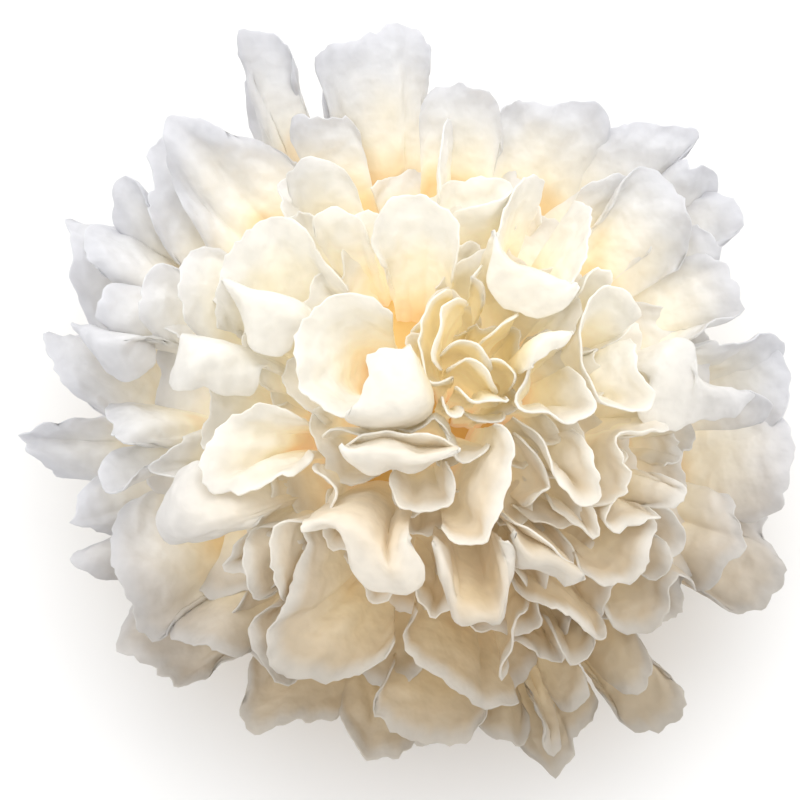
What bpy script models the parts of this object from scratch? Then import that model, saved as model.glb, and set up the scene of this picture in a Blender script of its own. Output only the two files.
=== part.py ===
"""Dried head of snow fungus: thin curled fronds, all grown from one foot, as one closed solid.

Lengths are millimetres until they go into a mesh, which is in metres. The origin is the middle of the flat
face where the head was cut from its wood, and +Z is up. A frond is a thin sheet that is stretched from its
root, inside the foot, to its rim. The rims of the fronds that show from above are given as they are seen by
a viewer who stands in front and looks down on the head: how far across (+X) and how far up from the middle.
"""
import math

import bmesh
import bpy
import numpy as np

MM = 0.001

# The viewer's place: how steeply the view looks down, how far off it is, and the point that its middle
# meets. Lengths across and up are true on the level plane through that point.
VIEW_ELEVATION = math.radians(78)
VIEW_DISTANCE = 480.0
VIEW_MIDDLE = np.array([-3.0, 1.5, 30.0])

# The head's outer form is a low dome whose top is a little off the middle of the view. A rim lies on it,
# raised or lowered by the frond's own lift.
DOME_MIDDLE = np.array([8.7, 0.7])
DOME_RADIUS = 57.0
DOME_TOP = 58.0
DOME_EDGE = 22.0
DOME_POWER = 2.6

# The solid foot as a turned profile, (radius, height) from its top down. It reaches below height 0 here,
# and is cut flat there at the end.
FOOT_PROFILE = ((0, 40), (11, 38.6), (21, 33.5), (28, 25), (29.5, 16), (26, 7.5), (19.5, 2), (16, -2), (0, -2))
FOOT_SIDES = 20
HEART = np.array([0.0, 0.0, 13.0])

# The fronds' flesh, and how a sheet runs from its root to its rim.
FLESH = 1.1
ROOT_DEPTH = 21.0
ROOT_FLATTEN = 0.85
ROOT_CLOSED = 0.42
ROOT_OPEN = 0.5
NECK_CLOSED = 0.45
NECK_OPEN = 0.75
NECK_DEPTH = 0.45
RIM_REACH = 0.42
FLARE_ROOM = 0.6
WIDEST_TURN = 40.0
RIM_SAMPLES = 97
SHEET_ROWS = (0.0, 0.45, 0.78, 1.0)
COLUMN_WIDTH = 6.0
MOST_COLUMNS = 11
FEWEST_COLUMNS = 4

# Fronds round the sides and the underside, in rings: how many, the rim's radius and height, how far the
# ends of a rim rise and draw in to make a cup, the step between high and low neighbours, how far the rim
# waves up and down, and the turn of the whole ring in degrees.
SIDE_RINGS = (
    (9, 41.0, 25.0, 7.0, 7.0, 1.5, 2.0, 8.0),
    (12, 43.5, 13.0, 8.0, 6.0, 2.0, 2.5, 0.0),
    (9, 36.0, 6.5, 4.0, 5.0, 1.0, 1.5, 17.0),
)
SIDE_OVERLAP = 0.6
SIDE_FLARE = (0.2, 0.5)
SIDE_POINTS = 7

# Snow fungus keeps a warm cream colour when it is dried.
FLESH_COLOUR = (0.90, 0.80, 0.60, 1.0)
FLESH_ROUGHNESS = 0.55

# Points closer than this are welded after the fronds are fused, and the skin is then thinned to this many
# triangles, which takes away the slivers along the lines where the fronds cross.
WELD = 0.001
MOST_TRIANGLES = 9900

# A frond: its name, its flare (at the ends of the rim, in the middle), how far the rim droops, its lift
# (start, middle, end), and its rim as points (across, up), which run round the way that keeps the inside
# of the frond's cup on the left.
FRONDS = (
    ("flag", (0.1, 0.3), 0, (0, 10, 2),
     ((-15.5, 40), (-16.9, 46), (-17.2, 51), (-19.2, 52.8), (-24, 53.6), (-25.1, 51.5), (-24, 47.5),
      (-23.4, 44.5), (-25, 41.8))),
    ("tall", (0.2, 0.7), 0.2, (2, 10, 2),
     ((2, 43), (2.5, 48), (3, 51.5), (1, 54), (-1.8, 54.7), (-6, 53), (-10.5, 51.4), (-13.6, 50),
      (-13.7, 47.5), (-12.8, 44), (-13, 41))),
    ("sail", (0.3, 0.4), 0, (3, 6, 3),
     ((-17, 36.5), (-21, 37.5), (-26, 38.8), (-31, 40.8), (-35, 41), (-35.8, 38), (-34.8, 33),
      (-32.5, 27.5), (-30.2, 22))),
    ("sail_back", (0.3, 0.3), 0, (-2, 0, -2),
     ((-32, 39), (-36, 38.2), (-37.8, 35.5), (-36.9, 32.2), (-38, 29.5), (-37.5, 26), (-36, 21.5))),
    ("left_top", (0.3, 0.4), 0, (-1, 1, -3),
     ((-36.3, 24), (-37.8, 28.5), (-39.7, 31.7), (-41.7, 32.5), (-43.2, 31), (-43, 28), (-43.2, 26),
      (-41.5, 22.5))),
    ("left_grey", (0.2, 0.4), 0.1, (0, 1, 0),
     ((-41, 25), (-45, 25.3), (-47.1, 24), (-46.9, 21.3), (-45.5, 18.8), (-43, 17.6), (-40.5, 17.8))),
    ("left_blue", (0.3, 0.3), 0, (-2, -1, -3),
     ((-45, 25.6), (-48, 26.2), (-50.1, 27), (-49.6, 23.5), (-49.2, 20), (-49.5, 18.3), (-48.2, 14.5),
      (-47.7, 10.5))),
    ("left_mid", (0.3, 0.4), 0, (-1, 0, -1),
     ((-47, 10.5), (-50, 9.2), (-52.6, 9.4), (-52.5, 6.5), (-51.3, 3.6), (-49, 1), (-46.8, -1),
      (-44.5, -2.5))),
    ("left_lip", (0.3, 1.1), 0.3, (1, 2, 1),
     ((-47.8, 9.2), (-45.3, 6.5), (-43.3, 3.6), (-41.2, 2.7), (-38.5, 3.4), (-36.5, 5.3), (-35.5, 8))),
    ("left_tip", (0.2, 0.3), 0, (-2, 0, -2),
     ((-46, -2.5), (-50, -3.2), (-54, -4), (-56.5, -5.4), (-55.2, -7.5), (-52.3, -10), (-50, -11.7),
      (-47.5, -12))),
    ("left_low_a", (0.2, 0.3), 0, (-2, -2, -3),
     ((-47.3, -11.5), (-48.1, -14.5), (-48.9, -17.9), (-46.5, -18.5), (-45, -19.3), (-43.5, -20.5))),
    ("left_low_b", (0.2, 0.3), 0, (-2, -2, -3),
     ((-44, -20.5), (-47.5, -21.9), (-49.2, -23.3), (-46.8, -24.8), (-44.5, -26.1), (-42.3, -26.6))),
    ("left_skirt", (0.2, 0.3), 0, (-4, -4, -4),
     ((-41, -28), (-41.3, -31), (-42, -34.5), (-42.1, -36.6), (-38.5, -38), (-35.5, -40.2),
      (-33.6, -41.9), (-31.5, -40.7), (-29.6, -40.5), (-27.8, -38.8), (-25.5, -38.7))),
    ("left_broad", (0.3, 0.6), 0.1, (0, 1, 0),
     ((-42.8, -14.5), (-43.3, -18), (-43.4, -22), (-42, -26.5), (-40.4, -30), (-39.4, -33.3),
      (-37.4, -35), (-35.6, -33.6), (-33.8, -31.5))),
    ("left_bowl", (0.3, 0.6), 0.1, (0, 1, 1),
     ((-36.5, -35), (-33, -35.2), (-29.5, -35.9), (-26, -36.9), (-23.4, -36.8), (-22.6, -34.5))),
    ("left_fold", (0.3, 0.7), 0.1, (0, 1, 0),
     ((-46, -0.8), (-44, -2.6), (-43, -5), (-41.3, -6.5), (-38.8, -6.3), (-36, -5))),
    ("left_vein", (0.2, 0.3), 0, (0, 0, 0),
     ((-44.8, -7), (-45.3, -10), (-44.3, -13.2), (-42, -12.6), (-39.8, -10.6), (-38, -8.6))),
    ("ledge", (0.4, 0.9), 0.2, (1, 2, 1),
     ((-31.3, 9.5), (-32.4, 6), (-34.4, 3.3), (-33.8, 1.8), (-30, 1.5), (-25.8, 0.7), (-22, 0.3),
      (-20.7, 2.4))),
    ("pale_left", (0.3, 0.5), 0, (1, 3, 1),
     ((-9.3, 16.5), (-12.8, 20.5), (-14.9, 24.6), (-18.3, 26.4), (-22, 25.6), (-26, 21.9), (-28.2, 16.5),
      (-29.8, 11))),
    ("apron", (0.4, 1.1), 0.3, (2, 3, 2),
     ((-25.8, 16.5), (-24.7, 12.5), (-24.1, 9.5), (-21.7, 6.8), (-19, 6.3), (-17, 7.2))),
    ("spoon", (0.5, 1), 0, (4, 4, 4),
     ((-2.3, 15.6), (-8.5, 16.4), (-14, 13.6), (-17, 8.3), (-16.2, 2.4), (-12.3, -1.8), (-6, -3.3),
      (0.2, -2.3), (2.4, 0.4), (1.1, 5), (0.3, 9.5))),
    ("collar", (0.3, 0.5), 0, (2, 4, 2),
     ((7.2, 18.5), (7, 22.5), (6.2, 26.5), (3.5, 29.2), (0, 29.9), (-3, 29), (-5, 26), (-5.9, 23.3),
      (-5, 20.5))),
    ("oval", (0.5, 0.9), 0.2, (2, 4, 2),
     ((-16, -1.2), (-21.5, -0.7), (-26, -2.3), (-29.2, -5.9), (-30.6, -9.6), (-29.5, -12.8),
      (-25.8, -13.5), (-22.3, -13.1), (-18.8, -12), (-15.8, -10.2), (-14.3, -8))),
    ("white_left", (0.4, 1), 0.2, (2, 3, 2),
     ((-29.8, -8.8), (-33, -10.6), (-35.5, -12.3), (-36.5, -16), (-36, -19), (-34, -21), (-31.3, -21.1),
      (-28.3, -20.3), (-25.5, -19.2))),
    ("hook_left", (0.2, 0.3), 0, (0, 1, 0),
     ((-15, -18), (-12.6, -17), (-11.2, -15), (-11, -13), (-12.2, -11.3), (-14, -10.4), (-15.6, -9.6))),
    ("loop_a", (0.2, 0.3), 0, (0, 1, 0),
     ((-19.6, -18.9), (-22.4, -18.8), (-24.4, -20.4), (-24.4, -23.5), (-23.8, -27), (-22.7, -29.4),
      (-20.9, -29.7))),
    ("loop_b", (0.2, 0.3), 0, (1, 2, 1),
     ((-14.5, -17.6), (-18, -17.4), (-20, -19.4), (-20.1, -24), (-19.5, -28), (-19.8, -30.5))),
    ("cup_back", (0.2, 0.4), 0, (-1, 0, -1),
     ((-18.5, -29.5), (-21.5, -30.8), (-23.4, -33), (-23, -36), (-21, -39.2), (-18.5, -41.7),
      (-15.5, -41.2))),
    ("cup", (0.2, 0.8), 0.1, (2, 2, 0),
     ((-10, -18.2), (-12.8, -16.9), (-15.6, -18), (-15.6, -22), (-17, -26), (-18.3, -29.8), (-20.5, -33),
      (-21, -36), (-19.3, -39.4), (-15.5, -40.8), (-11.8, -41.4), (-8, -40.3), (-4.5, -39.4),
      (-1.5, -37.5))),
    ("tongue", (0.2, 1.5), 0.2, (4, 2, 4),
     ((-5, -17.1), (-8, -17.5), (-9.6, -19.5), (-8.9, -23), (-7.8, -26), (-5.5, -28.1), (-2.5, -28.6),
      (0.5, -27.9), (2.1, -25.5), (2.1, -22), (0.9, -19.3), (-1.5, -17.6))),
    ("torn", (0.3, 0.6), 0.1, (1, 2, 1),
     ((0.8, -31), (-1.2, -33.8), (-0.9, -36.4), (2, -39), (5, -41), (7.5, -42.8), (10.3, -45),
      (12.3, -44.7), (15.9, -46.3))),
    ("scoop", (0.3, 1), 0.1, (2, 1, 2),
     ((4.3, -19.4), (2.8, -21.5), (3.2, -25), (4.7, -28.7), (6, -31.3), (7.8, -32.5), (10, -31.7),
      (12.5, -31.7), (13.6, -29), (14.8, -25), (14.9, -21), (14.1, -18))),
    ("narrow", (0.3, 0.7), 0.1, (3, 3, 4),
     ((4, -20), (6.5, -21.3), (9, -21.5), (11.2, -20.3), (12.4, -17.5), (13.5, -14), (14.8, -9.5),
      (15.3, -7), (14.5, -4), (13.2, -2.6))),
    ("boat", (0.4, 1.3), 0.4, (3, 1, 3),
     ((-10.4, -5.6), (-9.6, -7.8), (-7.3, -10), (-5.3, -11), (-3, -10.4), (0, -10.3), (3, -9.1),
      (6, -7.7), (7.3, -6.6))),
    ("bib", (0.2, 0.5), 0.1, (0, 0, 1),
     ((-3.2, -10.5), (-2.4, -13.8), (-1.2, -16), (0.8, -16.8), (3.5, -16.3), (5.8, -15), (6.3, -12),
      (5.6, -8.8))),
    ("crown_left", (0.1, 0.3), 0, (1, 1, 1),
     ((6.5, 17.5), (3.8, 15.5), (2, 12.5), (1, 9), (0.8, 6), (1.6, 3.1), (3.2, 2.3), (5.2, 2.5),
      (7, 3.6))),
    ("crown_front", (0.1, 0.7), 0, (2, 2, 2),
     ((6.8, 2.8), (7.6, 0.9), (8.8, -0.5), (10.5, -0.8), (12.5, -0.2), (14.4, -0.3), (15, 0.8))),
    ("crown_low", (0.1, 0.3), 0, (-1, -1, 0),
     ((4.6, -3), (5.6, -6), (6.5, -8.7), (8.8, -8.8), (11, -7.8), (12.4, -6.9))),
    ("goblet", (0.2, 1.4), 0, (3, 4, 3),
     ((21, 35), (17, 33.5), (14, 29.5), (12.4, 24.5), (11.2, 20.3), (10.9, 17.5), (12.3, 14.8),
      (15.5, 13), (20, 12.2), (24, 13.4), (25.8, 16.2), (26.3, 21), (27.3, 26.5), (25.8, 31.5))),
    ("bell", (0.2, 0.8), 0, (2, 3, 2),
     ((36.3, 13.8), (33.5, 15.5), (30.8, 17), (27.5, 16.2), (25.3, 13.2), (24, 10), (24.9, 6.5),
      (26, 2.8), (27.4, -0.4), (30, -1.4), (33.5, -1.8), (35.3, -0.3), (34.5, 3), (33.8, 6.7),
      (34.3, 10.2))),
    ("dish", (0.2, 0.7), 0, (2, 3, 2),
     ((23.3, 10), (21, 9.3), (18.4, 9), (17.2, 7), (16.4, 3), (16, 0), (17.3, -1.7), (20, -2.7),
      (22.7, -3.4), (25, -2.5), (27, -1), (26.3, 2), (25, 6))),
    ("petal", (0.2, 0.5), 0, (1, 2, 1),
     ((14.9, -2), (16.3, -4.3), (18.7, -6.2), (20, -9), (21.5, -12), (24, -14.6), (26.3, -15.2),
      (27.4, -13.6), (26.8, -9.5), (26.3, -6), (24.8, -3.6))),
    ("slat_a", (0.2, 0.6), 0.2, (1, 2, 1),
     ((14.9, -22.3), (16.5, -24.2), (19.5, -25.1), (22.8, -26.6), (24.9, -25.2))),
    ("slat_b", (0.2, 0.5), 0.2, (0, 1, 0),
     ((14.6, -26.5), (16.6, -28.6), (18.7, -29.6), (21.5, -31), (24.5, -32.6), (26.2, -34),
      (27.9, -35.7), (29.6, -33.6))),
    ("shelf", (0.3, 0.6), 0.1, (0, 1, 0),
     ((25.2, -23), (25.8, -25.6), (28.4, -27), (31.3, -26.8), (33.7, -25.2), (34.6, -22.3),
      (35.7, -19.5), (37.3, -17.2))),
    ("shell", (0.2, 0.5), 0, (1, 1, 1),
     ((31.5, -13.6), (29.2, -15.2), (28, -17.3), (29.2, -18.9), (31.5, -18.9), (34, -17.9),
      (36.8, -17.7), (37.3, -16.3))),
    ("white_tip", (0.3, 0.8), 0.2, (0, 1, 0),
     ((36.4, -16.3), (38.6, -15.4), (40.2, -13.4), (38.8, -11.4))),
    ("curl", (0.2, 0.3), 0, (0, 1, 0),
     ((27.7, -17), (29.3, -15.3), (31.4, -13.7), (32, -11.4), (31.5, -9), (30.2, -7.2), (29.9, -5.7),
      (31.2, -4.8), (34, -4.8), (37, -4.2), (39.5, -3.3))),
    ("beak", (0.2, 0.5), 0, (0, 0, 0),
     ((57.5, 3), (55.5, 8), (52, 10), (49.5, 8.9), (46.5, 8), (43.8, 8.3), (41.5, 8.3), (38.5, 7.8))),
    ("beak_low", (0.3, 0.6), 0, (1, 1, 1),
     ((56, -3), (53, 0), (49.5, 1.5), (46.5, 1.3), (43.6, 1.8), (41.5, 3), (40.3, 4.8), (38.5, 6.8))),
    ("right_side", (0.2, 0.4), 0, (-1, 0, -1),
     ((51, -18.5), (54.5, -15.5), (57, -10.5), (57.3, -5.5), (55.5, -1.5))),
    ("right_low", (0.2, 0.4), 0, (0, 1, 0),
     ((45, -28.5), (45.1, -25.5), (46.3, -23.6), (48, -22), (48.7, -20.4), (47.9, -18.4), (47.4, -16),
      (48.5, -14.2))),
    ("right_skirt", (0.2, 0.3), 0, (-3, -3, -3),
     ((43.5, -29.2), (46.5, -30.7), (51, -30.7), (52.3, -28.7), (54.4, -26.5), (54.5, -23.5),
      (52.4, -21.2), (51.7, -19.3), (54, -17.3))),
    ("front_right", (0.3, 0.6), 0.1, (0, 1, 0),
     ((25.6, -28.5), (28, -30.7), (30, -33), (32.5, -33.8), (35, -33.3), (37, -31.5), (37.9, -29.3),
      (37.8, -27), (39, -25.9), (40.6, -26.1), (42.2, -27.5), (43.7, -29.2))),
    ("shade_a", (0.2, 0.5), 0.1, (-2, -1, -2),
     ((28.8, -40.5), (30.5, -42.5), (33, -42.8), (34.6, -41.2), (35, -38.5), (34.3, -35.5))),
    ("shade_skirt", (0.2, 0.3), 0, (-4, -3, -3),
     ((28.8, -45.4), (31.3, -47.5), (33, -48.3), (35.5, -48.1), (38, -47.3), (39.8, -45), (39.4, -42.3),
      (37.5, -39.7), (35.3, -37.7), (34.3, -34.8))),
    ("front_point", (0.2, 0.3), 0, (-3, -2, -3),
     ((14.5, -49.4), (17.2, -51.8), (19.3, -53.2), (21, -54.5), (22.6, -53), (23.8, -50.6), (23.7, -49),
      (26.2, -47.2), (28.6, -45.6))),
    ("blade", (0.2, 0.3), 0, (0, 1, 0),
     ((18.5, -29.9), (15.8, -31.5), (14.6, -33.5), (14, -37), (13.6, -41), (15.2, -40.9))),
    ("front_left", (0.2, 0.3), 0, (-4, -4, -4),
     ((-24.2, -39.5), (-24.1, -42.5), (-24.5, -45.7), (-23.3, -48), (-20.4, -48.1), (-18.6, -46.9),
      (-14, -46.7), (-10.6, -46.5), (-9, -44))),
    ("front_mid", (0.2, 0.3), 0, (-4, -4, -4),
     ((-11, -46), (-8.6, -49.2), (-6.5, -51.9), (-4, -52.1), (-1.8, -51.9), (0.2, -50.3), (2, -47))),
    ("front_fan", (0.3, 0.5), 0.1, (-2, -1, -2),
     ((-2.5, -39.2), (-4.7, -42), (-5.2, -44.5), (-4.2, -46.7), (-1.5, -48.7), (2.5, -49.8), (7, -49.9),
      (10.3, -48.3), (12, -46.8))),
    ("ridge", (0.2, 0.4), 0, (0, 2, 0),
     ((14, 42.6), (11.5, 44.3), (9, 45.5), (7.3, 46.1), (5, 45.5), (3, 45.3), (1.5, 43.5))),
    ("long_back", (0.2, 0.5), 0, (0, 1, 0),
     ((31, 40.8), (28, 42.8), (25, 43.4), (20, 43), (15, 43.3), (13, 42), (13.5, 39.5))),
    ("wing", (0.2, 0.5), 0, (0, 2, 1),
     ((40.2, 34.3), (40.8, 36.3), (42.3, 38.3), (41.8, 39.3), (38, 39.8), (33, 40.5), (30, 39.5),
      (26.5, 38.3), (23, 36.5))),
    ("pale_right", (0.2, 0.5), 0, (1, 3, 1),
     ((41.3, 20), (40.9, 24), (40.2, 27.5), (38.3, 31), (35.5, 33.3), (33, 33.8), (30.8, 32), (29.8, 29))),
    ("right_knob", (0.2, 0.3), 0, (-2, -1, -2),
     ((45.3, 30.3), (44.6, 32.6), (43.5, 33.7), (41.2, 33.7), (40, 34.6), (38.5, 34))),
    ("right_ear", (0.2, 0.3), 0, (-2, -1, -2),
     ((44.9, 22.2), (46.5, 23.5), (48.1, 24.8), (48.3, 26.5), (47.4, 29), (45.5, 30.4), (43, 31))),
    ("right_mid", (0.2, 0.4), 0, (-1, 0, -1),
     ((43.5, 9.5), (44.9, 11), (47.8, 12), (48, 14.3), (47.2, 17), (45.8, 19.8), (43.3, 21.2),
      (41, 22.3))),
    ("back_hollow", (0, 0.2), 0, (1, 1, 1),
     ((15.5, 32), (14, 30), (11.5, 28.6), (8.5, 28), (6, 28.6))),
    ("back_slit", (0.1, 0.3), 0, (0, 1, 0),
     ((-8.5, 33), (-11, 34.6), (-14, 35.3), (-16.8, 34.3), (-19, 32))),
    ("left_inner", (0.2, 0.4), 0, (0, 0, 0),
     ((-29.5, 23.5), (-32.8, 20.5), (-33.6, 17), (-33.3, 13.5), (-32.5, 10))),
    ("left_outer", (0.2, 0.4), 0, (-1, 0, -1),
     ((-33.8, 19.5), (-36, 20), (-38.5, 18.2), (-39.3, 15), (-39.3, 12), (-38.5, 9.5))),
)


def unit(vectors):
    """Vectors of length one."""
    return vectors / np.maximum(np.linalg.norm(vectors, axis=-1, keepdims=True), 1e-9)


def running_mean(values, half_width):
    """Values along a rim, each averaged with its neighbours under a bell-shaped weight."""
    weights = np.hanning(2 * half_width + 3)[1:-1]
    weights /= weights.sum()
    padded = np.pad(values, [(half_width, half_width)] + [(0, 0)] * (values.ndim - 1), mode="edge")
    windows = np.lib.stride_tricks.sliding_window_view(padded, 2 * half_width + 1, axis=0)
    return windows @ weights


def spline(points, count):
    """Points at even steps along the smooth curve that passes through the given points."""
    given = np.asarray(points, float)
    ends = np.vstack([2 * given[0] - given[1], given, 2 * given[-1] - given[-2]])
    t = np.linspace(0, 1, 24, endpoint=False)[None, :, None]
    a, b, c, d = (ends[i:len(ends) - 3 + i][:, None, :] for i in range(4))
    curve = b + 0.5 * t * (c - a + t * (2 * a - 5 * b + 4 * c - d + t * (3 * b - a - 3 * c + d)))
    curve = np.vstack([curve.reshape(-1, given.shape[1]), given[-1]])
    run = np.concatenate([[0], np.cumsum(np.linalg.norm(np.diff(curve, axis=0), axis=1))])
    steps = np.linspace(0, run[-1], count)
    return np.stack([np.interp(steps, run, curve[:, axis]) for axis in range(given.shape[1])], axis=1)


def dome_height(seen):
    """Height of the head's dome at places that are seen at (across, up)."""
    away = seen - DOME_MIDDLE
    distance = np.linalg.norm(away, axis=1)
    along = unit(away) @ DOME_MIDDLE
    reach = np.sqrt(along ** 2 + DOME_RADIUS ** 2 - DOME_MIDDLE @ DOME_MIDDLE) - along
    share = np.minimum(distance / reach, 1.0)
    return DOME_EDGE + (DOME_TOP - DOME_EDGE) * (1 - share ** DOME_POWER)


def in_space(seen, height):
    """Points in space at the given heights on the viewer's lines of sight through (across, up)."""
    flat = math.cos(VIEW_ELEVATION)
    steep = math.sin(VIEW_ELEVATION)
    across, up = seen[:, 0], seen[:, 1]
    nearer = (height - VIEW_MIDDLE[2] - up * flat) / (steep - up * flat / VIEW_DISTANCE)
    shrink = 1 - nearer / VIEW_DISTANCE
    x = VIEW_MIDDLE[0] + across * shrink
    y = VIEW_MIDDLE[1] + up * shrink * steep - nearer * flat
    return np.stack([x, y, height], axis=1)


def seen_rim(lift, rim):
    """The rim of a frond that shows from above, as evenly spaced points in space."""
    share = np.linspace(0, 1, RIM_SAMPLES)
    seen = spline(rim, RIM_SAMPLES)
    bow = lift[1] - 0.5 * (lift[0] + lift[2])
    lifts = lift[0] + (lift[2] - lift[0]) * share + bow * np.sin(np.pi * share)
    return in_space(seen, dome_height(seen) + lifts)


def side_rims():
    """The rims of the fronds round the sides: shallow cups whose ends rise and draw in."""
    across = np.linspace(-1, 1, SIDE_POINTS)
    for count, radius, height, rise, draw, step, wave, turn in SIDE_RINGS:
        for k in range(count):
            middle = math.radians(turn + 360 / count * k + 6 * math.sin(2.4 * k))
            angle = middle + across * 2 * math.pi / count * SIDE_OVERLAP
            out = radius * (1 + 0.05 * math.sin(1.7 * k)) - draw * across ** 2 + wave * np.sin(5 * across + k)
            up = height + step * (-1) ** k + rise * across ** 2 + wave * np.sin(4 * across + 2 * k)
            yield spline(np.stack([out * np.cos(angle), out * np.sin(angle), up], axis=1), RIM_SAMPLES)


def sheet_curves(rim, flare, droop):
    """Root, neck, lip and rim: the four control curves of a frond's sheet.

    The root is a narrow copy of the rim inside the foot, the neck a wider one outside it, and the lip a
    line inside the rim that is pushed outwards by the flare, so that the sheet curls over.
    """
    share = np.linspace(0, 1, len(rim))
    middle = rim.mean(axis=0)
    axis = unit(middle - HEART)
    spread = rim - middle
    spread = spread - np.outer(spread @ axis, axis)
    chord = spread[-1] - spread[0]
    openness = np.linalg.norm(chord) / np.linalg.norm(spread, axis=1).max()
    open_rim = np.clip((openness - 0.5) / 0.7, 0, 1)
    open_rim = open_rim ** 2 * (3 - 2 * open_rim)
    straight = 0.3 * (spread[0] + spread[-1]) + np.outer(share - 0.5, chord)
    neck_shape = (1 - open_rim) * NECK_CLOSED * spread + open_rim * NECK_OPEN * straight
    root_shape = (1 - open_rim) * ROOT_CLOSED * spread + open_rim * ROOT_OPEN * straight
    root_middle = HEART + ROOT_DEPTH * axis * np.array([1, 1, ROOT_FLATTEN])
    root = root_middle + root_shape
    neck = middle - NECK_DEPTH * np.linalg.norm(middle - root_middle) * axis + neck_shape

    step = np.gradient(rim, axis=0)
    step = step - np.outer(step @ axis, axis)
    along = unit(step)
    outward = running_mean(np.cross(along, axis), 3)
    turn = np.cross(along, np.gradient(along, axis=0)) @ axis / np.maximum(np.linalg.norm(step, axis=1), 1e-6)
    room = 1 / np.maximum(running_mean(turn, 4), 1 / WIDEST_TURN)
    back = rim - neck
    reach = RIM_REACH * np.linalg.norm(back, axis=1)
    push = (flare[0] + (flare[1] - flare[0]) * np.sin(np.pi * share)) * reach
    push = running_mean(np.minimum(push, FLARE_ROOM * room), 5)
    lip = rim - RIM_REACH * back - push[:, None] * outward
    lip[:, 2] += droop * reach
    return root, neck, lip, rim


def add_frond(name, rim, flare, droop, collection):
    """A frond as a thin closed solid: a grid laid over its sheet and thickened to both sides."""
    curves = sheet_curves(rim, flare, droop)
    length = np.linalg.norm(np.diff(rim, axis=0), axis=1).sum()
    columns = int(np.clip(round(length / COLUMN_WIDTH), FEWEST_COLUMNS, MOST_COLUMNS))
    sheet = bmesh.new()
    bmesh.ops.create_grid(sheet, x_segments=columns, y_segments=len(SHEET_ROWS) - 1, size=0.5)
    grid = np.array([vert.co for vert in sheet.verts])
    u = grid[:, 0] + 0.5
    v = np.interp(grid[:, 1] + 0.5, np.linspace(0, 1, len(SHEET_ROWS)), SHEET_ROWS)[:, None]
    shares = np.linspace(0, 1, len(rim))
    root, neck, lip, edge = (
        np.stack([np.interp(u, shares, curve[:, axis]) for axis in range(3)], axis=1) for curve in curves
    )
    w = 1 - v
    places = w ** 3 * root + 3 * w ** 2 * v * neck + 3 * w * v ** 2 * lip + v ** 3 * edge
    for vert, place in zip(sheet.verts, places):
        vert.co = place * MM
    mesh = bpy.data.meshes.new(name)
    sheet.to_mesh(mesh)
    sheet.free()
    frond = bpy.data.objects.new(name, mesh)
    collection.objects.link(frond)
    frond.hide_render = True
    frond.display_type = "WIRE"
    flesh = frond.modifiers.new("flesh", "SOLIDIFY")
    flesh.thickness = FLESH * MM
    flesh.offset = 0
    frond.modifiers.new("facets", "TRIANGULATE")
    return frond


def add_foot(collection):
    """The solid foot: a profile turned about its own axis."""
    mesh = bpy.data.meshes.new("fruit_body")
    points = [(radius * MM, 0, height * MM) for radius, height in FOOT_PROFILE]
    mesh.from_pydata(points, [(i, i + 1) for i in range(len(points) - 1)], [])
    foot = bpy.data.objects.new("fruit_body", mesh)
    collection.objects.link(foot)
    turned = foot.modifiers.new("turned", "SCREW")
    turned.steps = FOOT_SIDES
    turned.render_steps = FOOT_SIDES
    turned.use_merge_vertices = True
    turned.merge_threshold = 0.0001
    foot.modifiers.new("facets", "TRIANGULATE")
    return foot


def bodies(shape):
    """The separate bodies of a mesh, each as a list of faces."""
    left = set(shape.faces)
    found = []
    while left:
        body = []
        edge_of_search = [left.pop()]
        while edge_of_search:
            face = edge_of_search.pop()
            body.append(face)
            near = {other for edge in face.edges for other in edge.link_faces} & left
            left -= near
            edge_of_search.extend(near)
        found.append(body)
    return found


def take_result(thing):
    """Makes what an object's modifiers give its own mesh, and drops the modifiers."""
    evaluated = thing.evaluated_get(bpy.context.evaluated_depsgraph_get())
    thing.data = bpy.data.meshes.new_from_object(evaluated)
    thing.modifiers.clear()


def fuse(foot, fronds):
    """Foot and fronds grown together: one skin, with the small voids sealed inside it filled in."""
    union = foot.modifiers.new("grown together", "BOOLEAN")
    union.operation = "UNION"
    union.operand_type = "COLLECTION"
    union.collection = fronds
    union.solver = "EXACT"
    take_result(foot)
    skin = bmesh.new()
    skin.from_mesh(foot.data)
    bmesh.ops.triangulate(skin, faces=skin.faces)
    bmesh.ops.remove_doubles(skin, verts=skin.verts, dist=WELD * MM)
    bmesh.ops.dissolve_degenerate(skin, edges=skin.edges, dist=WELD * MM)
    bmesh.ops.triangulate(skin, faces=skin.faces)
    outer = max(bodies(skin), key=len)
    sealed = set(skin.faces) - set(outer)
    bmesh.ops.delete(skin, geom=list(sealed), context="FACES")
    skin.to_mesh(foot.data)
    skin.free()


def thin_out(foot):
    """The same skin with fewer triangles."""
    thinned = foot.modifiers.new("thinned", "DECIMATE")
    thinned.ratio = MOST_TRIANGLES / len(foot.data.polygons)
    thinned.use_collapse_triangulate = True
    take_result(foot)


def cut_flat(foot):
    """The cut that took the head off its wood: everything under height 0 goes, and a flat face is left."""
    skin = bmesh.new()
    skin.from_mesh(foot.data)
    everything = skin.verts[:] + skin.edges[:] + skin.faces[:]
    bmesh.ops.bisect_plane(skin, geom=everything, plane_co=(0, 0, 0), plane_no=(0, 0, 1), clear_inner=True)
    rim = [edge for edge in skin.edges if edge.is_boundary]
    bmesh.ops.contextual_create(skin, geom=rim)
    bmesh.ops.triangulate(skin, faces=skin.faces)
    bmesh.ops.recalc_face_normals(skin, faces=skin.faces)
    skin.to_mesh(foot.data)
    skin.free()


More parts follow.
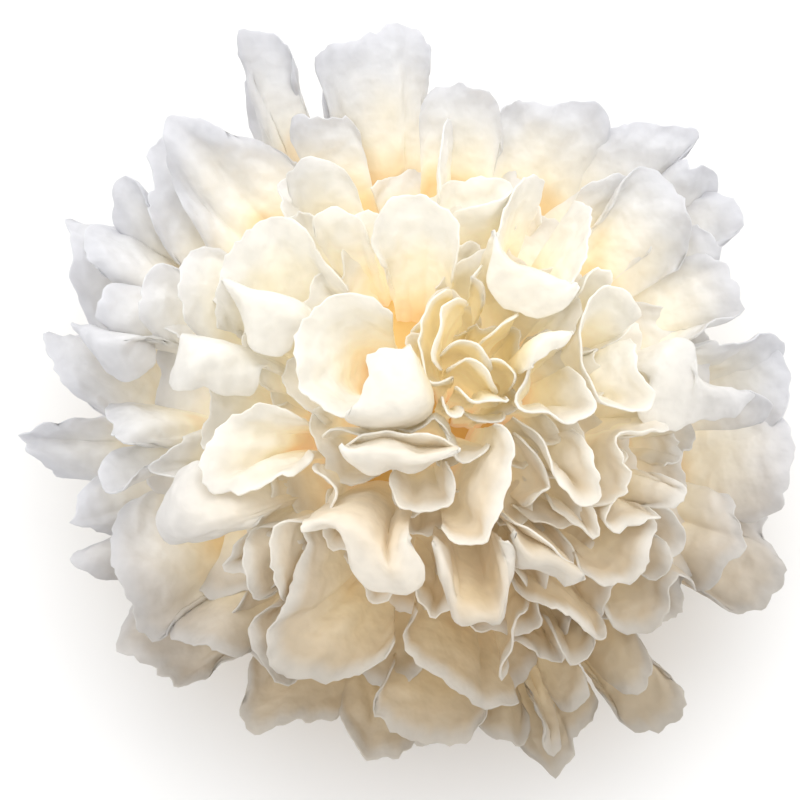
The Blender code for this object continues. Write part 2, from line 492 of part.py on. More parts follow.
def flesh_material():
    """Dried jelly: warm cream, half matt."""
    material = bpy.data.materials.new("dried jelly flesh")
    material.use_nodes = True
    shader = material.node_tree.nodes["Principled BSDF"]
    shader.inputs["Base Color"].default_value = FLESH_COLOUR
    shader.inputs["Roughness"].default_value = FLESH_ROUGHNESS
    shader.inputs["Metallic"].default_value = 0.0
    material.diffuse_color = FLESH_COLOUR
    return material


def new_collection(name):
    collection = bpy.data.collections.new(name)
    bpy.context.scene.collection.children.link(collection)
    return collection


def main():
    for old in list(bpy.data.objects):
        bpy.data.objects.remove(old)
    parts = new_collection("snow_fungus")
    fronds = new_collection("fronds")
    fruit_body = add_foot(parts)
    for name, flare, droop, lift, rim in FRONDS:
        add_frond(name, seen_rim(lift, rim), flare, droop, fronds)
    for number, rim in enumerate(side_rims()):
        add_frond("side_%02d" % number, rim, SIDE_FLARE, 0.0, fronds)
    bpy.context.view_layer.update()
    fuse(fruit_body, fronds)
    thin_out(fruit_body)
    cut_flat(fruit_body)
    fruit_body.data.materials.clear()
    fruit_body.data.materials.append(flesh_material())
    fruit_body.data.shade_smooth()
    fruit_body.data.set_sharp_from_angle(angle=math.radians(35))


main()
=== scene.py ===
"""Looks of a dried head of snow fungus: thin curled fronds grown from one foot, on a pale floor.

Shapes are worked out in millimetres with numpy and go into their meshes in metres, in the frame of the
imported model: the origin is the middle of the cut face and +Z is up. A frond is a sheet between a root in the
foot and a rim. The rims that show from above are given as a viewer sees them: how far across and how far up.
"""

import math

import bpy
import numpy as np
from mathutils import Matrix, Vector


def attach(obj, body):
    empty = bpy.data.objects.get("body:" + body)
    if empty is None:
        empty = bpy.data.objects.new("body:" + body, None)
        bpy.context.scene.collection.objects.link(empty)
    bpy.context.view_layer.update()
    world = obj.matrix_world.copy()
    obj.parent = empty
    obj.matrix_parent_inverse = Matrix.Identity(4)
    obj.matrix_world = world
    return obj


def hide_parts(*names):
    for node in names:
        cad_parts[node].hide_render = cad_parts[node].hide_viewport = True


bl_info = {
    "name": "Snow fungus head",
    "version": (1, 0, 0),
    "blender": (4, 5, 0),
    "location": "3D View > Sidebar > Snow fungus",
    "description": "Builds a dried head of snow fungus from thin curled fronds, with floor, light and camera",
    "category": "Add Mesh",
}

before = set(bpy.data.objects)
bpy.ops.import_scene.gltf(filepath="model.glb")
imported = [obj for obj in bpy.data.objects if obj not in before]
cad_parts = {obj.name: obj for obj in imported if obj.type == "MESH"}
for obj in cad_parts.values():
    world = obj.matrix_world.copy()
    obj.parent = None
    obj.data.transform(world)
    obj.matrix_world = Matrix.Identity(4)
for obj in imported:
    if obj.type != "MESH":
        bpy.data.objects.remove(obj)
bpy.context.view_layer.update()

MM = 0.001

# The viewer's place: how steeply the view looks down, how far off it is, and the point that its middle meets.
VIEW_ELEVATION = math.radians(78)
VIEW_DISTANCE = 480.0
VIEW_MIDDLE = np.array([-3.0, 1.5, 30.0])

# The picture: its side in pixels, the real size of a pixel at the view's middle, how far to the right of the
# picture's centre that middle lies, the width of the camera's sensor, and from where on it sees.
PHOTO_PX = 800
MM_PER_PX = 0.145
FRAME_OFFSET_PX = 10
SENSOR_MM = 36.0
CLIP_START_M = 0.01

# The low dome on which the rims lie, raised or lowered by each frond's own lift: its middle (across, up), the
# radius of the circle that bounds the head, its heights at the top and the edge, and the power by which it
# falls.
DOME_MIDDLE = np.array([8.7, 0.7])
DOME_RADIUS = 57.0
DOME_TOP = 58.0
DOME_EDGE = 22.0
DOME_POWER = 2.6

# The foot as a turned profile, (radius, height) from its top down to the middle of the cut face, how many of
# its points are on the round part, its rough radius, the spacing of its lumps, their share of the radius, and
# the height above the cut at which they are full.
FOOT_PROFILE = (
    (0, 40), (11, 38.6), (21, 33.5), (28, 25), (29.5, 16), (26, 7.5), (19.5, 2),
    (18.2, 0.5), (17.4, 0), (9, 0), (0, 0)
)
FOOT_ROUND_POINTS = 7
FOOT_RADIUS = 30
FOOT_LUMP_SPACING = 9.0
FOOT_LUMP_SHARE = 0.03
FOOT_LUMPS_FROM = 6

# The heart, from which all sheets head out. A sheet runs from a root over a neck and a lip to its rim. The
# root lies at a distance from the heart, with a share of the rise. It is a small copy of the rim where that
# is cupped, and of the straight line between its ends where it is open. The neck is a larger copy, at a share
# of the way in from the rim.
HEART = np.array([0.0, 0.0, 13.0])
ROOT_DEPTH = 21.0
ROOT_FLATTEN = 0.85
ROOT_CLOSED = 0.42
ROOT_OPEN = 0.5
NECK_CLOSED = 0.45
NECK_OPEN = 0.75
NECK_DEPTH = 0.45

# A rim is cupped where its ends lie less than a share of its reach apart, and open where that share is larger
# by the next. The straight line lies at a share of the way out to the ends.
OPEN_FROM = 0.5
OPEN_BY = 0.7
STRAIGHT_SHIFT = 0.3

# The lip lies at a share of the way in from the rim to the neck. The flare pushes it out by no more than a
# share of the radius at which the rim bends, and no radius counts as more than the widest.
RIM_REACH = 0.42
FLARE_ROOM = 0.45
WIDEST_TURN = 40.0

# Steps on each stretch of a curve, samples along a rim, and over how many of them to each side its heading,
# its bend and the push are smoothed.
SPLINE_STEPS = 24
RIM_SAMPLES = 97
SMOOTH_HEADING = 9
SMOOTH_BEND = 4
SMOOTH_PUSH = 8

# How far the heights along a rim are levelled, in the head's middle and at its edge, how much lower the ends
# of a rim at the edge hang, and what share of the waves is left in the middle.
RIM_FLATTEN = (0.45, 0.7)
END_DROP = 5.5
WAVES_INSIDE = 0.25

# A folded frond turns over at a share of the way from its root to its edge. Its flesh is coloured by a low
# power of that way, so that all of the lip is nearly as pale as a rim.
FOLD_AT = 0.7
FOLDED_WHITER = 0.3

# Fronds round the sides and the underside, in rings: how many, the rim's radius and height, how far the ends
# rise and draw in, the step between high and low neighbours, the waves, and the turn of the ring in degrees.
SIDE_RINGS = (
    (9, 41.0, 25.0, 7.0, 7.0, 1.5, 2.0, 8.0),
    (12, 43.5, 13.0, 8.0, 6.0, 2.0, 2.5, 0.0),
    (9, 36.0, 6.5, 4.0, 5.0, 1.0, 1.5, 17.0),
)

# The same for fronds low down inside, which hide the foot between the others.
INNER_RINGS = (
    (9, 31.0, 31.5, 4.0, 5.0, 2.5, 1.5, 12.0),
    (8, 26.0, 40.0, 3.0, 4.0, 1.5, 1.5, 30.0),
)

# In all rings: how much of the step round the ring a frond reaches to each side, its flare, the points of its
# rim, and how far the fronds stray round the ring, in degrees, and out from it, as a share of the radius.
SIDE_OVERLAP = 0.6
SIDE_FLARE = (0.2, 0.5)
SIDE_POINTS = 7
SIDE_SWAY = 6
SIDE_STAGGER = 0.05

# Small ruffles that fill the spaces between the large fronds, spread like the seeds of a sunflower: how many
# places, how far out they reach, the lift from the dome, half the width, the flare, and how far they stray.
RUFFLES = 78
RUFFLE_SPREAD = 43.0
RUFFLE_LIFT = (-9.5, -5.5)
RUFFLE_WIDTH = (4.5, 8.0)
RUFFLE_FLARE = (0.2, 0.6)
RUFFLE_STRAY = 1.5
GOLDEN_ANGLE = math.pi * (3 - math.sqrt(5))

# A ruffle's rim: its half turn in radians and by how much its width turns slower, its points, its bulge as a
# share of its width, and the height and pace of its waves.
RUFFLE_TURN = 1.9
RUFFLE_SLOWER = 1.4
RUFFLE_POINTS = 9
RUFFLE_BULGE = 0.55
RUFFLE_WAVE = (0.8, 1.8)
RUFFLE_PACE = (2.0, 3.4)

# Places left empty, because a ruffle there would hide a broad frond or fill a hollow.
RUFFLES_LEFT_OUT = {
    9, 14, 24, 25, 37, 40, 41, 42, 45, 47, 49, 50, 51, 53, 55,
    56, 57, 58, 61, 63, 66, 67, 68, 69, 70, 72, 74, 76, 77
}

# The thickness of the flesh along a sheet, as (share of the way from root to rim, share of the flesh size).
THICKNESS = ((0.0, 5.0), (0.5, 2.0), (0.75, 1.1), (0.95, 0.9), (1.0, 0.85))

# The rows of a sheet's mesh: where they start, the power that spreads them, the last one before the rim, and
# the bends of those round the lip in degrees. Then the fewest columns, the columns nearest to the ends of the
# rim, in flesh sizes from them, and the length along a rim that is one in the UV map.
SHEET_START = 0.1
ROW_POWER = 0.85
LIP_ROW = 0.988
LIP_BENDS = (45, 90, 135)
FEWEST_COLUMNS = 12
END_COLUMNS = (0.0, 0.08, 0.25, 0.5)
UV_MM = 100

# How far and how sharply a rim is rounded off towards its ends, the spacing of the finer nicks, and how far
# the nicks are drawn in, so that few stand out.
END_ROUNDING = 0.16
END_POWER = 6
NICK_FINE = 1.8
NICK_SINK = 0.6

# What is left at the root of the folds' spacing along the rim and of the crinkles' height, how the folds'
# spacing down the sheet compares, the power by which they grow, and how many sines make the crinkles.
FOLDS_AT_ROOT = 0.4
CRINKLES_AT_ROOT = 0.35
FOLD_STRETCH = 0.8
FOLD_POWER = 4
CRINKLE_WAVES = 9

# Patterns in the flesh, mm: cloudy patches, creases, the spacing of specks, and the pores of the foot. Real
# creases and pores are under 1 mm apart, too fine to show in the picture, so they are drawn coarser.
CLOUD_MM = 9.0
CREASE_MM = 2.6
SPECK_MM = 18.0
PORE_MM = 3.0
PORE_DEPTH_M = 0.0004
BUMP_STRENGTH = 0.6
FLESH_IOR = 1.45

# Where the looks change, as a start and an end. The first four are shares of the way from root to rim.
AT_RIM = (0.86, 0.985)
TOWARDS_RIM = (0.45, 0.95)
GLOWING = (0.4, 0.95)
THIN = (0.5, 0.95)

# The others are metres: for the crown the distance from its middle, for the front's painted shade the place
# along Y plus a share of the way to the left, for the outer fronds the distance from the upright axis, for the
# cut the height.
CROWN_MIDDLE_M = (0.006, 0.0045, 0.054)
CROWN_M = (0.017, 0.006)
FRONT_SHADE_M = (0.010, -0.040)
LEFT_SHADE_SHARE = 0.35
OUTER_M = (0.026, 0.052)
CUT_M = (0.0, 0.012)

# Where on the way from root to rim the root's, the deep and the body's colour lie, how pale the rim gets, and
# what share of the outer fronds' grey is left at their root.
FLESH_STOPS = (0.3, 0.5, 0.8)
RIM_PALE = 0.85
OUTER_AT_ROOT = 0.4

# A pattern's low and high value, and what they stand for: how far clouds shift the colours towards the rim,
# how dark the creases' hollows and how light their ridges are, a painted shade and highlight over the tissue's
# own streaky marks, the same for each frond's own tone, and how strong a speck is at a distance from its
# middle, in shares of the specks' spacing.
CLOUDS = (0.3, 0.7, -0.12, 0.12)
STREAKS_AND_CREASE_SHADING = (0.35, 0.65, 0.95, 1.03)
TONES = (-1, 1, 0.95, 1.02)
SPECKS = (0.012, 0.02, 0.9, 0.0)

# The painted glow, a weak light of the flesh's own that stands in for the light scattered inside it: the share
# of the front's painted shade at which the glow has sunk to its least, that least as a share, and by how much
# the grey of the outer fronds takes the glow away.
FRONT_SHADE_FOR_LEAST_GLOW = 0.6
GLOW_IN_FRONT = 0.5
GLOW_LESS_OUTSIDE = 1.2

# The foot: how far it lightens above the cut, where its dark and its light colour lie on the pores' range,
# and its roughness.
FOOT_LIGHTER = 0.45
FOOT_STOPS = (0.35, 0.8)
FOOT_ROUGHNESS = 0.6

# A frond: its name, its flare (at the ends of the rim, in the middle), how far the rim droops, its lift
# (start, middle, end), and its rim as points (across, up), with the inside of its cup on the left.
RIMS = {
    "back_fronds": (
        ("flag", (0.1, 0.3), 0, (0, 10, 2),
         ((-15.5, 40), (-16.9, 46), (-17.2, 51), (-19.2, 52.8), (-24, 53.6), (-25.1, 51.5), (-24, 47.5),
          (-23.4, 44.5), (-25, 41.8))),
        ("tall", (0.2, 0.7), 0.2, (2, 10, 2),
         ((2, 43), (2.5, 48), (3, 51.5), (1, 54), (-1.8, 54.7), (-6, 53), (-10.5, 51.4), (-13.6, 50),
          (-13.7, 47.5), (-12.8, 44), (-13, 41))),
        ("sail", (0.2, 0.3), 0, (-1, 7, -2),
         ((-17, 36.5), (-21, 37.5), (-26, 38.8), (-31, 40.8), (-35, 41), (-35.8, 38), (-34.8, 33),
          (-32.5, 27.5), (-30.2, 22))),
        ("sail_back", (0.3, 0.3), 0, (-2, 0, -2),
         ((-32, 39), (-36, 38.2), (-37.8, 35.5), (-36.9, 32.2), (-38, 29.5), (-37.5, 26), (-36, 21.5))),
        ("ridge", (0.2, 0.4), 0, (0, 2, 0),
         ((14, 42.6), (11.5, 44.3), (9, 45.5), (7.3, 46.1), (5, 45.5), (3, 45.3), (1.5, 43.5))),
        ("long_back", (0.2, 0.5), 0, (0, 1, 0),
         ((31, 40.8), (28, 42.8), (25, 43.4), (20, 43), (15, 43.3), (13, 42), (13.5, 39.5))),
        ("wing", (0.2, 0.5), 0, (0, 2, 1),
         ((40.2, 34.3), (40.8, 36.3), (42.3, 38.3), (41.8, 39.3), (38, 39.8), (33, 40.5), (30, 39.5),
          (26.5, 38.3), (23, 36.5))),
        ("pale_right", (0.2, 0.5), 0, (1, 3, 1),
         ((41.3, 20), (40.9, 24), (40.2, 27.5), (38.3, 31), (35.5, 33.3), (33, 33.8), (30.8, 32),
          (29.8, 29))),
        ("right_knob", (0.2, 0.3), 0, (-2, -1, -2),
         ((45.3, 30.3), (44.6, 32.6), (43.5, 33.7), (41.2, 33.7), (40, 34.6), (38.5, 34))),
        ("right_ear", (0.2, 0.3), 0, (-2, -1, -2),
         ((44.9, 22.2), (46.5, 23.5), (48.1, 24.8), (48.3, 26.5), (47.4, 29), (45.5, 30.4), (43, 31))),
        ("back_hollow", (0, 0.2), 0, (1, 1, 1),
         ((15.5, 32), (14, 30), (11.5, 28.6), (8.5, 28), (6, 28.6))),
        ("back_slit", (0.1, 0.3), 0, (0, 1, 0),
         ((-8.5, 33), (-11, 34.6), (-14, 35.3), (-16.8, 34.3), (-19, 32))),
        ("pale_left", (0.3, 0.5), 0, (1, 3, 1),
         ((-9.3, 16.5), (-12.8, 20.5), (-14.9, 24.6), (-18.3, 26.4), (-22, 25.6), (-26, 21.9),
          (-28.2, 16.5), (-29.8, 11))),
        ("collar", (0.3, 0.5), 0, (2, 4, 2),
         ((7.2, 18.5), (7, 22.5), (6.2, 26.5), (3.5, 29.2), (0, 29.9), (-3, 29), (-5, 26), (-5.9, 23.3),
          (-5, 20.5))),
        ("back_rib", (0, 0.1), 0, (0, 0, 0),
         ((6.5, 42.5), (5, 39), (4.3, 35), (3.8, 31))),
        ("back_gap", (0.1, 0.2), 0, (-1, -1, -1),
         ((-8, 41.5), (-12.5, 41.1), (-15.5, 41), (-18.5, 42))),
        ("white_back", (0.1, 0.4), 0, (1, 1, 1),
         ((-6.3, 24.5), (-8, 27), (-11, 28), (-13.8, 27.3), (-14.8, 25))),
    ),
    "left_fronds": (
        ("left_top", (0.3, 0.4), 0, (-1, 1, -3),
         ((-36.3, 24), (-37.8, 28.5), (-39.7, 31.7), (-41.7, 32.5), (-43.2, 31), (-43, 28), (-43.2, 26),
          (-41.5, 22.5))),
        ("left_grey", (0.2, 0.4), 0.1, (0, 1, 0),
         ((-41, 25), (-45, 25.3), (-47.1, 24), (-46.9, 21.3), (-45.5, 18.8), (-43, 17.6), (-40.5, 17.8))),
        ("left_blue", (0.3, 0.3), 0, (-2, -1, -3),
         ((-45, 25.6), (-48, 26.2), (-50.1, 27), (-49.6, 23.5), (-49.2, 20), (-49.5, 18.3), (-48.2, 14.5),
          (-47.7, 10.5))),
        ("left_mid", (0.3, 0.4), 0, (-3, 0, -3),
         ((-47, 10.5), (-50, 9.2), (-52.6, 9.4), (-52.5, 6.5), (-51.3, 3.6), (-49, 1), (-46.8, -1),
          (-44.5, -2.5))),
        ("left_tip", (0.1, 0.2), 0, (-6, 0, -6),
         ((-46, -2.5), (-50, -3.2), (-54, -4), (-56.5, -5.4), (-55.2, -7.5), (-52.3, -10), (-50, -11.7),
          (-47.5, -12))),
        ("left_low_a", (0.2, 0.3), 0, (-2, -2, -3),
         ((-47.3, -11.5), (-48.1, -14.5), (-48.9, -17.9), (-46.5, -18.5), (-45, -19.3), (-43.5, -20.5))),
        ("left_low_b", (0.2, 0.3), 0, (-2, -2, -3),
         ((-44, -20.5), (-47.5, -21.9), (-49.2, -23.3), (-46.8, -24.8), (-44.5, -26.1), (-42.3, -26.6))),
        ("left_skirt", (0.2, 0.3), 0, (-4, -4, -4),
         ((-41, -28), (-41.3, -31), (-42, -34.5), (-42.1, -36.6), (-38.5, -38), (-35.5, -40.2),
          (-33.6, -41.9), (-31.5, -40.7), (-29.6, -40.5), (-27.8, -38.8), (-25.5, -38.7))),
        ("left_broad", (0.3, 0.6), 0.1, (0, 1, 0),
         ((-42.8, -14.5), (-43.3, -18), (-43.4, -22), (-42, -26.5), (-40.4, -30), (-39.4, -33.3),
          (-37.4, -35), (-35.6, -33.6), (-33.8, -31.5))),
        ("left_bowl", (0.3, 0.6), 0.1, (0, 1, 1),
         ((-36.5, -35), (-33, -35.2), (-29.5, -35.9), (-26, -36.9), (-23.4, -36.8), (-22.6, -34.5))),
        ("left_fold", (0.3, 0.7), 0.1, (-3, 1, -3),
         ((-46, -0.8), (-44, -2.6), (-43, -5), (-41.3, -6.5), (-38.8, -6.3), (-36, -5))),
        ("left_vein", (0.2, 0.3), 0, (0, 0, 0),
         ((-44.8, -7), (-45.3, -10), (-44.3, -13.2), (-42, -12.6), (-39.8, -10.6), (-38, -8.6))),
        ("left_inner", (0.2, 0.4), 0, (0, 0, 0),
         ((-29.5, 23.5), (-32.8, 20.5), (-33.6, 17), (-33.3, 13.5), (-32.5, 10))),
        ("left_outer", (0.2, 0.4), 0, (-1, 0, -1),
         ((-33.8, 19.5), (-36, 20), (-38.5, 18.2), (-39.3, 15), (-39.3, 12), (-38.5, 9.5))),
        ("left_under", (0.2, 0.3), 0, (-1, -1, -1),
         ((-40, 17.3), (-43.5, 16.6), (-44.8, 14.5), (-45.5, 12), (-44, 10.3), (-40.5, 10.1))),
    ),
    "crown_fronds": (
        ("spoon", (0.5, 1), 0, (4, 4, 4),
         ((-2.3, 15.6), (-8.5, 16.4), (-14, 13.6), (-17, 8.3), (-16.2, 2.4), (-12.3, -1.8), (-6, -3.3),
          (0.2, -2.3), (2.4, 0.4), (1.1, 5), (0.3, 9.5))),
        ("oval", (0.5, 0.9), 0.2, (2, 4, 2),
         ((-16, -1.2), (-21.5, -0.7), (-26, -2.3), (-29.2, -5.9), (-30.6, -9.6), (-29.5, -12.8),
          (-25.8, -13.5), (-22.3, -13.1), (-18.8, -12), (-15.8, -10.2), (-14.3, -8))),
        ("hook_left", (0.2, 0.3), 0, (0, 1, 0),
         ((-15, -18), (-12.6, -17), (-11.2, -15), (-11, -13), (-12.2, -11.3), (-14, -10.4),
          (-15.6, -9.6))),
        ("loop_a", (0.2, 0.3), 0, (0, 1, 0),
         ((-19.6, -18.9), (-22.4, -18.8), (-24.4, -20.4), (-24.4, -23.5), (-23.8, -27), (-22.7, -29.4),
          (-20.9, -29.7))),
        ("loop_b", (0.2, 0.3), 0, (1, 2, 1),
         ((-14.5, -17.6), (-18, -17.4), (-20, -19.4), (-20.1, -24), (-19.5, -28), (-19.8, -30.5))),
        ("cup_back", (0.2, 0.4), 0, (-1, 0, -1),
         ((-18.5, -29.5), (-21.5, -30.8), (-23.4, -33), (-23, -36), (-21, -39.2), (-18.5, -41.7),
          (-15.5, -41.2))),
        ("cup", (0.2, 0.8), 0.1, (2, 2, 0),
         ((-10, -18.2), (-12.8, -16.9), (-15.6, -18), (-15.6, -22), (-17, -26), (-18.3, -29.8),
          (-20.5, -33), (-21, -36), (-19.3, -39.4), (-15.5, -40.8), (-11.8, -41.4), (-8, -40.3),
          (-4.5, -39.4), (-1.5, -37.5))),
        ("boat_back", (0.1, 0.3), 0, (3, 3.5, 3),
         ((7.3, -6.8), (3.5, -5.7), (0, -5), (-4, -4.8), (-7.5, -5.6), (-10.3, -6.4))),
        ("bib", (0.2, 0.5), 0.1, (0, 0, 1),
         ((-3.2, -10.5), (-2.4, -13.8), (-1.2, -16), (0.8, -16.8), (3.5, -16.3), (5.8, -15), (6.3, -12),
          (5.6, -8.8))),
        ("narrow", (0.3, 0.7), 0.1, (3, 3, 4),
         ((4, -20), (6.5, -21.3), (9, -21.5), (11.2, -20.3), (12.4, -17.5), (13.5, -14), (14.8, -9.5),
          (15.3, -7), (14.5, -4), (13.2, -2.6))),
        ("crown_left", (0.1, 0.3), 0, (1, 1, 1),
         ((6.5, 17.5), (3.8, 15.5), (2, 12.5), (1, 9), (0.8, 6), (1.6, 3.1), (3.2, 2.3), (5.2, 2.5),
          (7, 3.6))),
        ("crown_front", (0.1, 0.7), 0, (2, 2, 2),
         ((6.8, 2.8), (7.6, 0.9), (8.8, -0.5), (10.5, -0.8), (12.5, -0.2), (14.4, -0.3), (15, 0.8))),
        ("crown_low", (0.1, 0.3), 0, (-1, -1, 0),
         ((4.6, -3), (5.6, -6), (6.5, -8.7), (8.8, -8.8), (11, -7.8), (12.4, -6.9))),
        ("goblet", (0.1, 0.3), 0, (3, 3, 3),
         ((21, 35), (17, 33.5), (14, 29.5), (12.6, 24.5), (14, 21), (17, 19.2), (20.5, 18), (23.5, 16.8),
          (25.2, 20), (26.5, 24), (27.1, 28), (25.8, 31.5))),
        ("bell", (0.2, 0.8), 0, (2, 3, 2),
         ((36.3, 13.8), (33.5, 15.5), (30.8, 17), (27.5, 16.2), (25.3, 13.2), (24, 10), (24.9, 6.5),
          (26, 2.8), (27.4, -0.4), (30, -1.4), (33.5, -1.8), (35.3, -0.3), (34.5, 3), (33.8, 6.7),
          (34.3, 10.2))),
        ("dish", (0.2, 0.7), 0, (2, 3, 2),
         ((23.3, 10), (21, 9.3), (18.4, 9), (17.2, 7), (16.4, 3), (16, 0), (17.3, -1.7), (20, -2.7),
          (22.7, -3.4), (25, -2.5), (27, -1), (26.3, 2), (25, 6))),
        ("crown_a", (0.1, 0.2), 0, (2, 2, 2),
         ((8.5, 15.8), (5.8, 14), (3.9, 11.5), (3.1, 8.5), (3.6, 6.2), (5, 5.2))),
        ("crown_b", (0, 0.1), 0, (1, 2, 1),
         ((4, 7.5), (5.5, 8.5), (7.5, 8.8), (9.4, 8), (10.6, 6.2), (12, 4.6))),
        ("crown_c", (0, 0.1), 0, (1, 2, 1),
         ((5.2, 5), (6.6, 6), (8.1, 6.5), (9.6, 5.7), (10.7, 4.2), (11.8, 2.6), (13.5, 1.8))),
        ("crown_d", (0, 0.2), 0, (1, 1, 1),
         ((10.6, 5.6), (12.3, 5.5), (14, 5.1), (15.4, 4), (15.6, 2))),
        ("crown_e", (0.1, 0.4), 0, (1, 1, 1),
         ((3.8, 0.5), (4.4, -1), (5.6, -1.9), (6.8, -1.6), (7.2, -0.3))),
        ("crown_f", (0, 0.2), 0, (0, 1, 0),
         ((10.2, 9), (12.1, 10), (13.8, 10.9), (15.6, 12.2), (16.4, 13))),
        ("crown_g", (0, 0.2), 0, (0, 1, 0),
         ((11, 20.5), (9.5, 18.8), (8.2, 17.8), (9.8, 16.8), (11.4, 15))),
        ("crown_h", (0.1, 0.4), 0, (-1, 0, -1),
         ((-2.5, -4.8), (0, -4.6), (2, -3.6), (3.2, -2.2), (4.6, -3.3), (5.2, -5.2), (6.6, -6.4))),
        ("crown_i", (0.1, 0.3), 0, (-2, -1, -1),
         ((7.5, -1.4), (9.3, -2.9), (11.4, -3.4), (13.2, -2.8), (14.6, -1.6))),
        ("bowl_foot", (0.1, 0.3), 0, (-3, -2, -2),
         ((-13.5, -5.6), (-11.5, -4.3), (-8.5, -4.9), (-5.5, -5.9), (-3, -6.3))),
        ("bell_back", (0.1, 0.2), 0, (0, 0, 0),
         ((30.3, 17), (29, 19), (26.8, 19.4), (25.2, 18), (24.6, 15.8))),
    ),
    "front_fronds": (
        ("torn", (0.3, 0.6), 0.1, (1, 2, 1),
         ((0.8, -31), (-1.2, -33.8), (-0.9, -36.4), (2, -39), (5, -41), (7.5, -42.8), (10.3, -45),
          (12.3, -44.7), (15.9, -46.3))),
        ("strap_back", (0.1, 0.3), 0, (2, 3, 3),
         ((24.7, -25), (22, -22.4), (19.5, -20.2), (16, -18.3), (14, -17.6))),
        ("slat_b", (0.2, 0.5), 0.2, (0, 1, 0),
         ((14.6, -26.5), (16.6, -28.6), (18.7, -29.6), (21.5, -31), (24.5, -32.6), (26.2, -34),
          (27.9, -35.7), (29.6, -33.6))),
        ("shade_a", (0.2, 0.5), 0.1, (-2, -1, -2),
         ((28.8, -40.5), (30.5, -42.5), (33, -42.8), (34.6, -41.2), (35, -38.5), (34.3, -35.5))),
        ("shade_skirt", (0.2, 0.3), 0, (-4, -3, -3),
         ((28.8, -45.4), (31.3, -47.5), (33, -48.3), (35.5, -48.1), (38, -47.3), (39.8, -45),
          (39.4, -42.3), (37.5, -39.7), (35.3, -37.7), (34.3, -34.8))),
        ("front_point", (0.2, 0.3), 0, (-3, -2, -3),
         ((14.5, -49.4), (17.2, -51.8), (19.3, -53.2), (21, -54.5), (22.6, -53), (23.8, -50.6),
          (23.7, -49), (26.2, -47.2), (28.6, -45.6))),
        ("blade", (0.2, 0.3), 0, (0, 1, 0),
         ((18.5, -29.9), (15.8, -31.5), (14.6, -33.5), (14, -37), (13.6, -41), (15.2, -40.9))),
        ("front_left", (0.2, 0.3), 0, (-4, -4, -4),
         ((-24.2, -39.5), (-24.1, -42.5), (-24.5, -45.7), (-23.3, -48), (-20.4, -48.1), (-18.6, -46.9),
          (-14, -46.7), (-10.6, -46.5), (-9, -44))),
        ("front_mid", (0.2, 0.3), 0, (-4, -4, -4),
         ((-11, -46), (-8.6, -49.2), (-6.5, -51.9), (-4, -52.1), (-1.8, -51.9), (0.2, -50.3), (2, -47))),
        ("front_fan", (0.3, 0.5), 0.1, (-2, -1, -2),
         ((-2.5, -39.2), (-4.7, -42), (-5.2, -44.5), (-4.2, -46.7), (-1.5, -48.7), (2.5, -49.8),
          (7, -49.9), (10.3, -48.3), (12, -46.8))),
        ("front_rib", (0.1, 0.2), 0, (-1, 0, -1),
         ((18, -44), (19.5, -48.5), (20.7, -52), (21.9, -50.5), (22, -46.5))),
        ("shade_b", (0.1, 0.3), 0, (-1, 0, -1),
         ((20.5, -33), (22, -36), (23.5, -38.5), (26, -37.2), (28, -35.8))),
        ("shade_c", (0.1, 0.3), 0, (-2, -1, -2),
         ((22, -46.3), (24.5, -44.9), (25.8, -42.5), (25.3, -40), (23, -38.9))),
        ("front_small", (0.2, 0.3), 0, (-3, -3, -3),
         ((9.8, -48.3), (12, -49.2), (14.2, -49.4), (16, -50.5), (17.5, -48.5))),
    ),
    "right_fronds": (
        ("petal", (0.2, 0.5), 0, (1, 2, 1),
         ((14.9, -2), (16.3, -4.3), (18.7, -6.2), (20, -9), (21.5, -12), (24, -14.6), (26.3, -15.2),
          (27.4, -13.6), (26.8, -9.5), (26.3, -6), (24.8, -3.6))),
        ("shelf", (0.3, 0.6), 0.1, (0, 1, 0),
         ((25.2, -23), (25.8, -25.6), (28.4, -27), (31.3, -26.8), (33.7, -25.2), (34.6, -22.3),
          (35.7, -19.5), (37.3, -17.2))),
        ("shell", (0.2, 0.5), 0, (1, 1, 1),
         ((31.5, -13.6), (29.2, -15.2), (28, -17.3), (29.2, -18.9), (31.5, -18.9), (34, -17.9),
          (36.8, -17.7), (37.3, -16.3))),
        ("white_tip", (0.3, 0.8), 0.2, (0, 1, 0),
         ((36.4, -16.3), (38.6, -15.4), (40.2, -13.4), (38.8, -11.4))),
        ("curl", (0.2, 0.3), 0, (0, 1, 0),
         ((27.7, -17), (29.3, -15.3), (31.4, -13.7), (32, -11.4), (31.5, -9), (30.2, -7.2), (29.9, -5.7),
          (31.2, -4.8), (34, -4.8), (37, -4.2), (39.5, -3.3))),
        ("beak", (0.2, 0.5), 0, (0, 0, 0),
         ((55.6, 3), (54.3, 8), (51.6, 10), (49.5, 8.9), (46.5, 8), (43.8, 8.3), (41.5, 8.3), (38.5, 7.8))),
        ("beak_low", (0.3, 0.6), 0, (1, 1, 1),
         ((54.6, -3), (52.4, 0), (49.5, 1.5), (46.5, 1.3), (43.6, 1.8), (41.5, 3), (40.3, 4.8), (38.5, 6.8))),
        ("right_side", (0.2, 0.4), 0, (-1, 0, -1),
         ((51, -18.5), (53.8, -15.5), (55.3, -10.5), (55.6, -5.5), (54.3, -1.5))),
        ("right_back", (0.1, 0.2), 0, (-3, -2, -3),
         ((52.5, -5), (54.6, -1.5), (55.2, 3), (54, 7), (51.5, 8.8))),
        ("right_low", (0.2, 0.4), 0, (0, 1, 0),
         ((45, -28.5), (45.1, -25.5), (46.3, -23.6), (48, -22), (48.7, -20.4), (47.9, -18.4), (47.4, -16),
          (48.5, -14.2))),
        ("right_skirt", (0.2, 0.3), 0, (-3, -3, -3),
         ((43.5, -29.2), (46.5, -30.7), (51, -30.7), (52.3, -28.7), (54.4, -26.5), (54.5, -23.5),
          (52.4, -21.2), (51.7, -19.3), (54, -17.3))),
        ("front_right", (0.3, 0.6), 0.1, (0, 1, 0),
